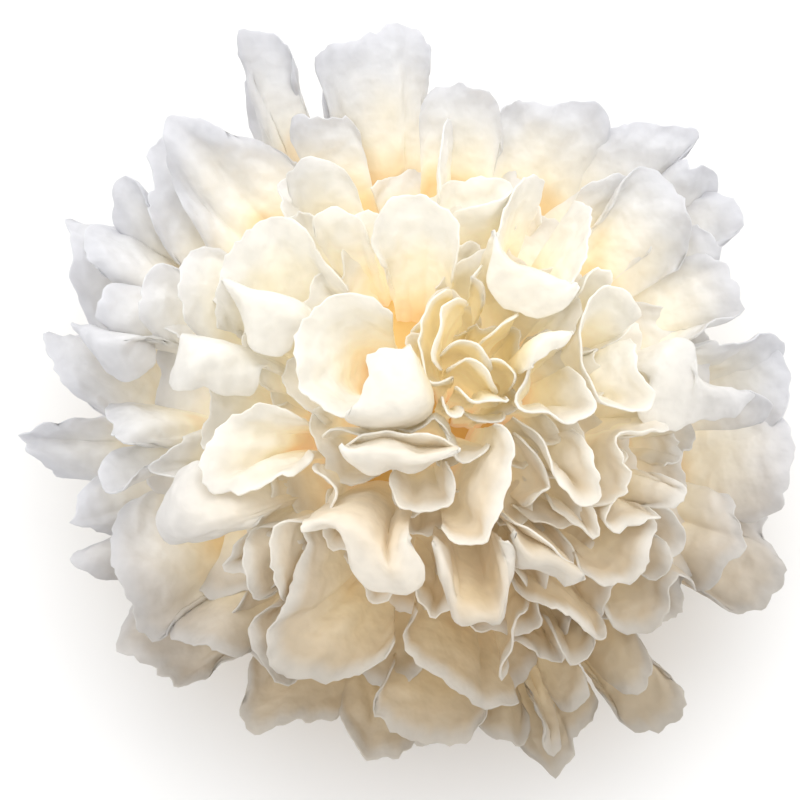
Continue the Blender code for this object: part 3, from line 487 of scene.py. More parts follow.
         ((25.6, -28.5), (28, -30.7), (30, -33), (32.5, -33.8), (35, -33.3), (37, -31.5), (37.9, -29.3),
          (37.8, -27), (39, -25.9), (40.6, -26.1), (42.2, -27.5), (43.7, -29.2))),
        ("right_mid", (0.2, 0.4), 0, (-1, 0, -1),
         ((43.5, 9.5), (44.9, 11), (47.8, 12), (48, 14.3), (47.2, 17), (45.8, 19.8), (43.3, 21.2),
          (41, 22.3))),
        ("petal_twin", (0.1, 0.2), 0, (-1, -1, -1),
         ((15, -5.4), (17.3, -6.8), (18.8, -9), (19.8, -11.5), (20.6, -13), (18.8, -14.2), (16.9, -15.9))),
        ("pleat", (0.1, 0.3), 0, (-2, -1, -2),
         ((20.8, -14), (21.2, -15.8), (23, -17.2), (25, -18.6), (26.9, -19.8), (27.6, -17.5),
          (27.2, -15.3))),
        ("shelf_loop", (0.1, 0.2), 0, (-1, -1, -1),
         ((33.2, -25.8), (35.5, -26.2), (37.3, -25), (37.9, -23), (37.3, -20.8), (36, -19.5))),
        ("right_fold", (0.1, 0.3), 0, (-1, -1, -1),
         ((45.9, 19.3), (45.2, 21.3), (44.2, 23.5), (42.5, 25), (40.8, 25.5))),
    ),
}

# A frond whose lip folds over: its name, the lift of its fold and of its edge (start, middle, end), and the
# points (across, up) of the fold and of the edge.
FOLDED = (
    ("bowl_flap", (4.2, 4.2, 4.2), (4.2, 5.1, 4.2),
     ((-9.6, -2.6), (-5, -3.2), (-0.5, -2.6), (2.2, -0.6), (2.2, 2.5), (1.2, 5), (0.3, 7.2)),
     ((-8, -1.2), (-7.3, 0.8), (-6.3, 2.8), (-6, 4.6), (-6.2, 6.2), (-3.8, 7.2), (-1, 7.6))),
    ("boat", (3, 4, 3), (2, 0.5, 2),
     ((-9.8, -6.6), (-8.5, -7), (-6, -6.4), (-3.5, -6.3), (-1.2, -7.1), (1, -8.1), (4, -7.7), (7, -7)),
     ((-10.3, -6.6), (-9.3, -8.4), (-7.2, -10), (-5.5, -11), (-3, -10.4), (0, -10.4), (3, -9.1), (6, -8),
      (7.4, -7))),
    ("strap", (2, 3, 2), (0, 0, 1),
     ((14.6, -18.6), (15.8, -20.4), (17.5, -21.9), (20, -22), (22.5, -23.4), (24.6, -25)),
     ((14.6, -21.5), (15.3, -23.8), (18.5, -24.9), (21.3, -25.8), (22.6, -26.8), (24.6, -25.6))),
    ("tongue", (3, 3.5, 3), (2, 0.5, 2),
     ((-15.5, -18), (-12.3, -16.9), (-9, -17.2), (-6.5, -18.6), (-4.8, -20.8), (-3.3, -23.4), (-2.4, -21.5),
      (-1.6, -19.6), (-0.3, -18.9)),
     ((-14.5, -19.6), (-11.3, -18.7), (-9.6, -19.6), (-8.5, -22.8), (-7, -26.6), (-5, -28.2), (-2, -28.5),
      (0.8, -27.4), (2.1, -24.5), (1.5, -20.8))),
    ("scoop", (2, 2.5, 2), (1.5, 0.5, 1.5),
     ((3.2, -20.3), (5, -22), (5.8, -25), (6.6, -28), (7.3, -30), (9.5, -30.3), (12, -30.4), (12.8, -28),
      (13.2, -24), (12.8, -20)),
     ((2.9, -20.6), (2.7, -23), (4, -27), (5.4, -30), (6.3, -31.8), (7.8, -32.5), (9.7, -31.5), (12.5, -32),
      (13.6, -29), (14.8, -25), (14.6, -20))),
    ("apron", (3, 4.5, 3), (2, 1.5, 2),
     ((-26.5, 17.5), (-24, 16), (-20.5, 15.3), (-17, 14), (-15, 11)),
     ((-26.2, 15.5), (-24.7, 12.5), (-24.1, 9.5), (-21.7, 6.8), (-19, 6.3), (-17, 7.2), (-15.5, 9.5))),
    ("ledge", (2, 3, 2), (1, 0, 1),
     ((-32.5, 9.5), (-29, 8), (-25, 6.5), (-21.2, 4.5)),
     ((-32.6, 6.5), (-34.4, 3.3), (-33.8, 1.8), (-30, 1.5), (-25.8, 0.7), (-22, 0.3), (-20.7, 2.4))),
    ("left_lip", (2, 3, 2), (0, 0, 0),
     ((-47, 11), (-43.5, 9.3), (-40, 8.8), (-36, 9.5)),
     ((-47.8, 9.2), (-45.3, 6.5), (-43.3, 3.6), (-41.2, 2.7), (-38.5, 3.4), (-36.5, 5.3), (-35.5, 8))),
    ("white_left", (2.5, 3.5, 2.5), (1, 1, 1),
     ((-29.8, -8.8), (-31.2, -12), (-30.4, -15.5), (-27.5, -17.2), (-24.5, -17.4), (-21.5, -17)),
     ((-31.5, -9.2), (-34, -11), (-36, -14), (-36.4, -18), (-34.5, -20.8), (-31.3, -21.1), (-28.3, -20.3),
      (-25.5, -19.2), (-22, -18.6))),
    ("white_right", (1, 2.5, 1.5), (0, 1, 0),
     ((33.8, 4), (36, 6), (38.5, 7.8), (41, 8.2), (40.4, 5.2), (42, 2.8), (45, 1.8), (48, 1.2)),
     ((33, 0), (32.3, -3), (34.5, -4.6), (38, -4.1), (41, -3.6), (44, -2.8), (47, -2.6), (48.8, -0.8))),
    ("dish_flap", (3, 4, 3), (3, 5, 3),
     ((16.6, 4.2), (16.9, 7.2), (18.4, 9), (20.8, 9.3), (23, 9.4)),
     ((17.6, 4.6), (18.6, 5.6), (20, 6.8), (21.6, 7.7), (22.9, 8.8))),
    ("goblet_lip", (3.5, 4, 3.5), (2, 1.5, 2),
     ((12, 24.5), (13.2, 21.3), (15.5, 19.6), (19, 18.5), (21.5, 17.2), (23.6, 16.6)),
     ((11.6, 21), (11.1, 17.5), (12.6, 14.7), (16, 12.6), (20.5, 12), (24, 13.2))),
)


def linear(hex_colour):
    """A colour given as sRGB hex, in the linear values that shaders take."""
    parts = [int(hex_colour[i:i + 2], 16) / 255 for i in (0, 2, 4)]
    return tuple(p / 12.92 if p <= 0.04045 else ((p + 0.055) / 1.055) ** 2.4 for p in parts)


def unit(vectors):
    """Vectors of length one."""
    return vectors / np.maximum(np.linalg.norm(vectors, axis=-1, keepdims=True), 1e-9)


def running_mean(values, half_width):
    """Values along a rim, each averaged with its neighbours under a bell-shaped weight."""
    weights = np.hanning(2 * half_width + 3)[1:-1]
    weights /= weights.sum()
    padded = np.pad(values, [(half_width, half_width)] + [(0, 0)] * (values.ndim - 1), mode="edge")
    windows = np.lib.stride_tricks.sliding_window_view(padded, 2 * half_width + 1, axis=0)
    return windows @ weights


def spline(points, count):
    """Points at even steps along a cubic curve through the given points. Each stretch of it leaves and
    reaches its ends along the line between the points on either side."""
    given = np.asarray(points, float)
    ends = np.vstack([2 * given[0] - given[1], given, 2 * given[-1] - given[-2]])
    t = np.linspace(0, 1, SPLINE_STEPS, endpoint=False)[None, :, None]
    a, b, c, d = (ends[i:len(ends) - 3 + i][:, None, :] for i in range(4))
    curve = b + 0.5 * t * (c - a + t * (2 * a - 5 * b + 4 * c - d + t * (3 * b - a - 3 * c + d)))
    curve = np.vstack([curve.reshape(-1, given.shape[1]), given[-1]])
    run = np.concatenate([[0], np.cumsum(np.linalg.norm(np.diff(curve, axis=0), axis=1))])
    steps = np.linspace(0, run[-1], count)
    return np.stack([np.interp(steps, run, curve[:, axis]) for axis in range(given.shape[1])], axis=1)


def ripples(x, y, wavelength, rng, waves=6):
    """Smooth uneven relief of about -1 to 1 over (x, y): a sum of sines, each with a heading, a phase and
    a length near the wavelength that are drawn from the seeded generator."""
    heading = rng.uniform(0, 2 * math.pi, waves)
    phase = rng.uniform(0, 2 * math.pi, waves)
    turn = 2 * math.pi / (wavelength * rng.uniform(0.7, 1.4, waves))
    along = x[..., None] * (np.cos(heading) * turn) + y[..., None] * (np.sin(heading) * turn)
    return np.sin(along + phase).sum(axis=-1) / math.sqrt(waves)


def dome_height(seen):
    """Height of the dome where it is seen at (across, up): it falls from its top by a power of the share of
    the way out to the circle that bounds the head."""
    away = seen - DOME_MIDDLE
    distance = np.linalg.norm(away, axis=1)
    along = unit(away) @ DOME_MIDDLE
    reach = np.sqrt(along ** 2 + DOME_RADIUS ** 2 - DOME_MIDDLE @ DOME_MIDDLE) - along
    share = np.minimum(distance / reach, 1.0)
    return DOME_EDGE + (DOME_TOP - DOME_EDGE) * (1 - share ** DOME_POWER)


def in_space(seen, height):
    """Points at the given heights on the viewer's lines of sight through (across, up)."""
    flat = math.cos(VIEW_ELEVATION)
    steep = math.sin(VIEW_ELEVATION)
    across, up = seen[:, 0], seen[:, 1]
    nearer = (height - VIEW_MIDDLE[2] - up * flat) / (steep - up * flat / VIEW_DISTANCE)
    shrink = 1 - nearer / VIEW_DISTANCE
    x = VIEW_MIDDLE[0] + across * shrink
    y = VIEW_MIDDLE[1] + up * shrink * steep - nearer * flat
    return np.stack([x, y, height], axis=1)


def seen_rim(lift, rim, size, rng):
    """The rim of a frond that shows from above: its curve on the dome, plus a lift that bows from its value
    at the start over that in the middle to that at the end, plus uneven waves, which grow with the square
    of the share of the way out from the dome's middle.

    The heights along the rim are drawn towards the lowest of them, and its ends hang lower by one less the
    sine of the way along. Both grow towards the head's edge, where the rims would crease otherwise."""
    share = np.linspace(0, 1, RIM_SAMPLES)
    seen = spline(rim, RIM_SAMPLES)
    run = np.concatenate([[0], np.cumsum(np.linalg.norm(np.diff(seen, axis=0), axis=1))])
    bow = lift[1] - 0.5 * (lift[0] + lift[2])
    lifts = lift[0] + (lift[2] - lift[0]) * share + bow * np.sin(np.pi * share)
    outer = np.clip(np.linalg.norm(seen - DOME_MIDDLE, axis=1) / DOME_RADIUS, 0, 1) ** 2
    waves = size.wave_mm * (WAVES_INSIDE + (1 - WAVES_INSIDE) * outer)
    waves = waves * ripples(run, 0 * run, size.wave_length_mm, rng)
    height = dome_height(seen)
    flatten = RIM_FLATTEN[0] + (RIM_FLATTEN[1] - RIM_FLATTEN[0]) * outer.mean()
    height = height.min() + (1 - flatten) * (height - height.min())
    drop = END_DROP * outer * (1 - np.sin(np.pi * share))
    return in_space(seen, height + lifts + waves - drop)


def side_rims(rings):
    """Rims in rings: arcs of a circle whose ends rise and draw in by the square of the way along, with sine
    waves added to radius and height. Sines of a frond's number set it off from its even place."""
    across = np.linspace(-1, 1, SIDE_POINTS)
    for count, radius, height, rise, draw, step, wave, turn in rings:
        for k in range(count):
            middle = math.radians(turn + 360 / count * k + SIDE_SWAY * math.sin(2.4 * k))
            angle = middle + across * 2 * math.pi / count * SIDE_OVERLAP
            out = radius * (1 + SIDE_STAGGER * math.sin(1.7 * k)) - draw * across ** 2
            out = out + wave * np.sin(5 * across + k)
            up = height + step * (-1) ** k + rise * across ** 2 + wave * np.sin(4 * across + 2 * k)
            yield spline(np.stack([out * np.cos(angle), out * np.sin(angle), up], axis=1), RIM_SAMPLES)


def ruffle_rims(rng):
    """Rims of the small ruffles: wavy arcs that bulge away from the dome's middle, each a golden angle on
    from the last and farther out by the square root of its number."""
    for k in sorted(set(range(RUFFLES)) - RUFFLES_LEFT_OUT):
        radius = RUFFLE_SPREAD * math.sqrt((k + 0.5) / RUFFLES)
        angle = k * GOLDEN_ANGLE
        outward = np.array([math.cos(angle), math.sin(angle)])
        sideways = np.array([-outward[1], outward[0]])
        middle = DOME_MIDDLE * (1 - radius / DOME_RADIUS) + radius * outward
        middle = middle + rng.uniform(-RUFFLE_STRAY, RUFFLE_STRAY, 2)
        width = rng.uniform(*RUFFLE_WIDTH)
        turn = np.linspace(-RUFFLE_TURN, RUFFLE_TURN, RUFFLE_POINTS)
        wave = rng.uniform(*RUFFLE_WAVE) * np.sin(turn * rng.uniform(*RUFFLE_PACE) + rng.uniform(0, 6))
        bulge = (RUFFLE_BULGE * width * np.cos(turn) + wave)[:, None] * outward
        rim = middle + bulge + (width * np.sin(turn / RUFFLE_SLOWER))[:, None] * sideways
        seen = spline(rim, RIM_SAMPLES)
        yield in_space(seen, dome_height(seen) + rng.uniform(*RUFFLE_LIFT))


def sheet_curves(rim, flare, droop):
    """Root, neck, lip and rim: the four control curves of a frond's sheet.

    The root is a narrow copy of the rim inside the foot, the neck a wider one outside it, and the lip a
    line inside the rim that is pushed outwards by the flare, so that the sheet curls over. The flare goes
    from its value at the ends to that in the middle by the sine of the way along."""
    share = np.linspace(0, 1, len(rim))
    middle = rim.mean(axis=0)
    axis = unit(middle - HEART)
    spread = rim - middle
    spread = spread - np.outer(spread @ axis, axis)
    chord = spread[-1] - spread[0]
    openness = np.linalg.norm(chord) / np.linalg.norm(spread, axis=1).max()
    open_rim = np.clip((openness - OPEN_FROM) / OPEN_BY, 0, 1)
    open_rim = open_rim ** 2 * (3 - 2 * open_rim)
    straight = STRAIGHT_SHIFT * (spread[0] + spread[-1]) + np.outer(share - 0.5, chord)
    neck_shape = (1 - open_rim) * NECK_CLOSED * spread + open_rim * NECK_OPEN * straight
    root_shape = (1 - open_rim) * ROOT_CLOSED * spread + open_rim * ROOT_OPEN * straight
    root_middle = HEART + ROOT_DEPTH * axis * np.array([1, 1, ROOT_FLATTEN])
    root = root_middle + root_shape
    neck = middle - NECK_DEPTH * np.linalg.norm(middle - root_middle) * axis + neck_shape

    step = np.gradient(rim, axis=0)
    step = step - np.outer(step @ axis, axis)
    along = unit(step)
    outward = running_mean(np.cross(along, axis), SMOOTH_HEADING)
    turn = np.cross(along, np.gradient(along, axis=0)) @ axis
    turn = turn / np.maximum(np.linalg.norm(step, axis=1), 1e-6)
    room = 1 / np.maximum(running_mean(turn, SMOOTH_BEND), 1 / WIDEST_TURN)
    back = rim - neck
    reach = RIM_REACH * np.linalg.norm(back, axis=1)
    push = (flare[0] + (flare[1] - flare[0]) * np.sin(np.pi * share)) * reach
    push = running_mean(np.minimum(push, FLARE_ROOM * room), SMOOTH_PUSH)
    lip = rim - RIM_REACH * back - push[:, None] * outward
    lip[:, 2] += droop * reach
    return root, neck, lip, rim


def folded_curves(fold, edge):
    """Root, neck, lip and edge of a frond whose lip folds over. The root and the neck are those of the
    fold line, and the lip is placed so that the cubic sheet meets the fold line at a set share of its way."""
    root, neck, _, _ = sheet_curves(fold, (0.0, 0.0), 0.0)
    t = FOLD_AT
    s = 1 - t
    lip = (fold - s ** 3 * root - 3 * s ** 2 * t * neck - t ** 3 * edge) / (3 * s * t ** 2)
    return root, neck, lip, edge


def grid_normals(points):
    """Unit normals of a grid of points: the cross product of its two directions."""
    return unit(np.cross(np.gradient(points, axis=0), np.gradient(points, axis=1)))


def closed_triangles(index):
    """Triangles over a grid of point numbers whose second direction closes on itself. Places that share a
    number make no triangle, so a side that shrinks to a line or a point is closed."""
    ahead = np.roll(index, -1, axis=1)
    a, b, c, d = index[:-1], index[1:], ahead[1:], ahead[:-1]
    both = np.concatenate([np.stack([a, b, c], -1).reshape(-1, 3), np.stack([a, c, d], -1).reshape(-1, 3)])
    flat = (both[:, 0] == both[:, 1]) | (both[:, 1] == both[:, 2]) | (both[:, 2] == both[:, 0])
    return both[~flat]


def facing_out(points, triangles):
    """The triangles, turned round if the volume that they close comes out negative."""
    a, b, c = (points[triangles[:, k]] for k in range(3))
    return triangles if np.einsum("ij,ij->i", a, np.cross(b, c)).sum() > 0 else triangles[:, ::-1]


def frond(curves, size, rng, whiter=1.0):
    """A frond as a closed solid of two parameters: how far along the rim, and how far round the sheet's
    section, which runs up the inner face from root to rim, round the lip, and down the outer face.

    The middle sheet is a cubic surface whose control curves are the root, the neck, the lip and the rim.
    Nicks shorten or lengthen it near the rim by ripples along the rim, divided by the speed of the cubic
    there, so that they are real lengths. Folds that grow towards the rim, and finer crinkles, push the
    sheet along its own normal. The flesh lies half to each side, and it thins to nothing over its own half
    thickness at the two ends of the rim, along a quarter circle, so the ends are round. A power of less
    than one for "whiter" makes the sheet take the colours of the rim from farther down."""
    rim = curves[-1]
    length = np.linalg.norm(np.diff(rim, axis=0), axis=1).sum()
    steps = max(int(length / size.column_mm), FEWEST_COLUMNS)
    ends = np.array(END_COLUMNS) * size.flesh_mm
    run = np.concatenate([ends, np.linspace(0, length, steps + 1)[1:-1], length - ends[::-1]])
    u = (run / length)[:, None]
    v = SHEET_START + (1 - SHEET_START) * np.linspace(0, 1, size.rows)[None, :] ** ROW_POWER
    v[:, -2] = LIP_ROW
    shares = np.linspace(0, 1, len(rim))
    root, neck, lip, edge = (
        np.stack([np.interp(u[:, 0], shares, curve[:, axis]) for axis in range(3)], axis=1)[:, None, :]
        for curve in curves
    )
    depth = np.linalg.norm(edge - root, axis=2)
    speed = 3 * np.linalg.norm(edge - lip, axis=2)
    nicks = ripples(run, 0 * run, size.notch_length_mm, rng)
    nicks = nicks + 0.5 * ripples(run, 0 * run, NICK_FINE, rng)
    notch = size.notch_mm * (nicks[:, None] - NICK_SINK) / speed
    t = (v * (1 - END_ROUNDING * np.abs(2 * u - 1) ** END_POWER + notch * v ** 3))[..., None]
    s = 1 - t
    sheet = s ** 3 * root + 3 * s ** 2 * t * neck + 3 * s * t ** 2 * lip + t ** 3 * edge

    across = (run[:, None] - 0.5 * length) * (FOLDS_AT_ROOT + (1 - FOLDS_AT_ROOT) * v)
    down = (1 - v) * depth
    fold = size.fold_mm * v ** FOLD_POWER
    fold = fold * ripples(across, FOLD_STRETCH * down, size.fold_length_mm, rng)
    crinkle = size.crinkle_mm * (CRINKLES_AT_ROOT + (1 - CRINKLES_AT_ROOT) * v)
    crinkle = crinkle * ripples(across, down, size.crinkle_length_mm, rng, CRINKLE_WAVES)
    sheet = sheet + (fold + crinkle)[..., None] * grid_normals(sheet)

    normal = grid_normals(sheet)
    at, share = zip(*THICKNESS)
    half = 0.5 * size.flesh_mm * np.interp(v, at, share)
    near_end = np.clip(np.minimum(run, length - run)[:, None] / (0.5 * size.flesh_mm), 0, 1)
    half = half * np.sqrt(1 - (1 - near_end) ** 2)
    outward = unit(sheet[:, -1] - sheet[:, -2])[:, None, :]
    bend = np.radians(LIP_BENDS)[None, :, None]
    cap = sheet[:, -1:] + half[:, -1:, None] * (np.cos(bend) * normal[:, -1:] + np.sin(bend) * outward)
    inner = sheet + half[..., None] * normal
    outer = sheet - half[..., None] * normal
    points = np.concatenate([inner, cap, outer[:, ::-1]], axis=1)

    rows = size.rows
    lip_end = rows + len(LIP_BENDS)
    index = np.arange(points.shape[0] * points.shape[1]).reshape(points.shape[:2])
    for end in (0, -1):
        index[end, rows:lip_end] = index[end, rows - 1]
        index[end, lip_end:] = index[end, :rows][::-1]
    section = np.concatenate([v[0], np.ones(len(LIP_BENDS)), v[0, ::-1]]) ** whiter
    flesh = np.stack(np.broadcast_arrays(run[:, None] / UV_MM, section[None, :]), axis=-1)
    return tidy_solid(points.reshape(-1, 3), flesh.reshape(-1, 2), closed_triangles(index))


def tidy_solid(points, flesh, triangles):
    """The solid without the points that no triangle uses, facing outwards, with its places in the UV map."""
    used, triangles = np.unique(triangles, return_inverse=True)
    points = points[used]
    return points, flesh[used], facing_out(points, triangles.reshape(-1, 3))


def foot_solid(size, rng):
    """The foot: a profile turned round the upright axis, with low lumps that fade out at the cut face.
    Both ends of the profile lie on the axis, and each shrinks to one point."""
    given = np.array(FOOT_PROFILE, float)
    profile = spline(given[:FOOT_ROUND_POINTS], size.foot_rows)
    profile = np.vstack([profile, given[FOOT_ROUND_POINTS:]])
    angle = np.linspace(0, 2 * math.pi, size.foot_sides, endpoint=False)
    radius, height = profile[:, 0][:, None], profile[:, 1][:, None]
    east, north = FOOT_RADIUS * np.cos(angle)[None, :], FOOT_RADIUS * np.sin(angle)[None, :]
    lumps = ripples(east + 0 * radius, north + height, FOOT_LUMP_SPACING, rng)
    radius = radius * (1 + FOOT_LUMP_SHARE * lumps * np.clip(height / FOOT_LUMPS_FROM, 0, 1))
    points = np.stack([radius * np.cos(angle), radius * np.sin(angle), height + 0 * radius], axis=-1)
    index = np.arange(points.shape[0] * points.shape[1]).reshape(points.shape[:2])
    index[0] = index[0, 0]
    index[-1] = index[-1, 0]
    flesh = np.zeros(points.shape[:2] + (2,))
    flesh[..., 0] = angle / (2 * math.pi)
    return tidy_solid(points.reshape(-1, 3), flesh.reshape(-1, 2), closed_triangles(index))


def make_piece(name, solids, material, rng):
    """One mesh of several closed solids, in metres, with the UV map "flesh" (along the rim, from root to
    rim) and the attribute "tone", a value of its own for each solid. It stands for the grown body."""
    counts = np.cumsum([0] + [len(points) for points, _, _ in solids])
    points = np.concatenate([points for points, _, _ in solids]) * MM
    flesh = np.concatenate([flesh for _, flesh, _ in solids])
    triangles = np.concatenate([corners + start for (_, _, corners), start in zip(solids, counts)])
    tone = np.repeat(rng.uniform(-1, 1, len(solids)), np.diff(counts))
    mesh = bpy.data.meshes.new(name)
    mesh.from_pydata(points, [], triangles)
    corners = np.empty(len(mesh.loops), dtype=np.int32)
    mesh.loops.foreach_get("vertex_index", corners)
    mesh.uv_layers.new(name="flesh").data.foreach_set("uv", flesh[corners].astype(np.float32).ravel())
    mesh.attributes.new("tone", "FLOAT", "POINT").data.foreach_set("value", tone.astype(np.float32))
    mesh.shade_smooth()
    mesh.materials.append(material)
    piece = bpy.data.objects.new(name, mesh)
    bpy.context.scene.collection.objects.link(piece)
    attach(piece, "root")
    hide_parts("fruit_body")
    return piece


# Settings that several nodes share.
SMOOTH = {"interpolation_type": "SMOOTHSTEP"}
COLOURS = {"data_type": "RGBA"}


def add_node(tree, kind, settings=(), inputs=(), links=()):
    """A shader node with its settings, the values of its inputs, and links into its inputs."""
    node = tree.nodes.new(kind)
    for key, value in dict(settings).items():
        setattr(node, key, value)
    for key, value in dict(inputs).items():
        node.inputs[key].default_value = value
    for key, source in dict(links).items():
        tree.links.new(source, node.inputs[key])
    return node


def span(start, end, low, high):
    """Inputs of a Map Range node that takes start to low and end to high."""
    return {1: start, 2: end, 3: low, 4: high}


def new_material(name):
    """An empty material with nodes, its tree and its output."""
    material = bpy.data.materials.new(name)
    material.use_nodes = True
    tree = material.node_tree
    tree.nodes.clear()
    return material, tree, tree.nodes.new("ShaderNodeOutputMaterial")


def set_stops(node, stops):
    """Gives a colour ramp its stops, as pairs of place and colour."""
    ramp = node.color_ramp
    for _ in stops[2:]:
        ramp.elements.new(1.0)
    for element, (place, colour) in zip(ramp.elements, stops):
        element.position = place
        element.color = (*colour, 1)


def flesh_colour(tree, look, place, section):
    """The flesh's colour by place, and how far in front and how far outside a spot lies.

    Along a sheet it goes from amber at the root over pale yellow to cream, shifted by clouds. The front is
    mixed with a darker, warmer colour as painted shade, the crown with yellow, the rims with near white, and
    the outer fronds with grey, which is darker in front, also as painted shade."""
    clouds = add_node(tree, "ShaderNodeTexNoise", inputs={"Scale": 1 / (CLOUD_MM * MM), "Detail": 1},
                      links={"Vector": place.outputs["Object"]})
    uneven = add_node(tree, "ShaderNodeMapRange", inputs=span(*CLOUDS), links={0: clouds.outputs[0]})
    from_root = add_node(tree, "ShaderNodeMath", {"operation": "ADD"},
                         links={0: section.outputs[1], 1: uneven.outputs[0]})
    depth = add_node(tree, "ShaderNodeValToRGB", links={0: from_root.outputs[0]})
    set_stops(depth, list(zip(FLESH_STOPS, (look.root_colour, look.deep_colour, look.body_colour))))

    # Painted shade: the front side, turned from the light, and more of it towards the left, takes a darker,
    # warmer colour, and the outer fronds' grey there is darker too.
    parts = add_node(tree, "ShaderNodeSeparateXYZ", links={0: place.outputs["Object"]})
    leftwards = add_node(tree, "ShaderNodeMath", {"operation": "MINIMUM"}, {1: 0.0},
                         {0: parts.outputs["X"]})
    backwards = add_node(tree, "ShaderNodeMath", {"operation": "MULTIPLY_ADD"}, {1: -LEFT_SHADE_SHARE},
                         {0: leftwards.outputs[0], 2: parts.outputs["Y"]})
    front = add_node(tree, "ShaderNodeMapRange", SMOOTH, span(*FRONT_SHADE_M, 0.0, look.tan),
                     {0: backwards.outputs[0]})
    from_crown = add_node(tree, "ShaderNodeVectorMath", {"operation": "DISTANCE"}, {1: CROWN_MIDDLE_M},
                          {0: place.outputs["Object"]})
    crown = add_node(tree, "ShaderNodeMapRange", SMOOTH, span(*CROWN_M, 0.0, look.crown),
                     {0: from_crown.outputs["Value"]})
    rim = add_node(tree, "ShaderNodeMapRange", SMOOTH, span(*AT_RIM, 0.0, RIM_PALE),
                   {0: section.outputs[1]})
    flat_place = add_node(tree, "ShaderNodeVectorMath", {"operation": "MULTIPLY"}, {1: (1, 1, 0)},
                          {0: place.outputs["Object"]})
    radius = add_node(tree, "ShaderNodeVectorMath", {"operation": "LENGTH"}, links={0: flat_place.outputs[0]})
    outer = add_node(tree, "ShaderNodeMapRange", SMOOTH, span(*OUTER_M, 0.0, look.bleach),
                     {0: radius.outputs["Value"]})
    up_outer = add_node(tree, "ShaderNodeMapRange", inputs=span(*TOWARDS_RIM, OUTER_AT_ROOT, 1.0),
                        links={0: section.outputs[1]})
    bleached = add_node(tree, "ShaderNodeMath", {"operation": "MULTIPLY"},
                        links={0: outer.outputs[0], 1: up_outer.outputs[0]})
    # Painted shade: the outer fronds' grey is darker in front.
    grey = add_node(tree, "ShaderNodeMix", COLOURS,
                    {6: (*look.outer_colour, 1), 7: (*look.outer_front_shade_colour, 1)}, {0: front.outputs[0]})

    colour = depth.outputs[0]
    # The first of these mixes is the painted shade of the front side.
    for share, over in ((front, look.front_shade_colour), (crown, look.crown_colour), (rim, look.rim_colour)):
        mixed = add_node(tree, "ShaderNodeMix", COLOURS, {7: (*over, 1)}, {0: share.outputs[0], 6: colour})
        colour = mixed.outputs[2]
    faded = add_node(tree, "ShaderNodeMix", COLOURS,
                     links={0: bleached.outputs[0], 6: colour, 7: grey.outputs[2]})
    return faded.outputs[2], front.outputs[0], outer.outputs[0]


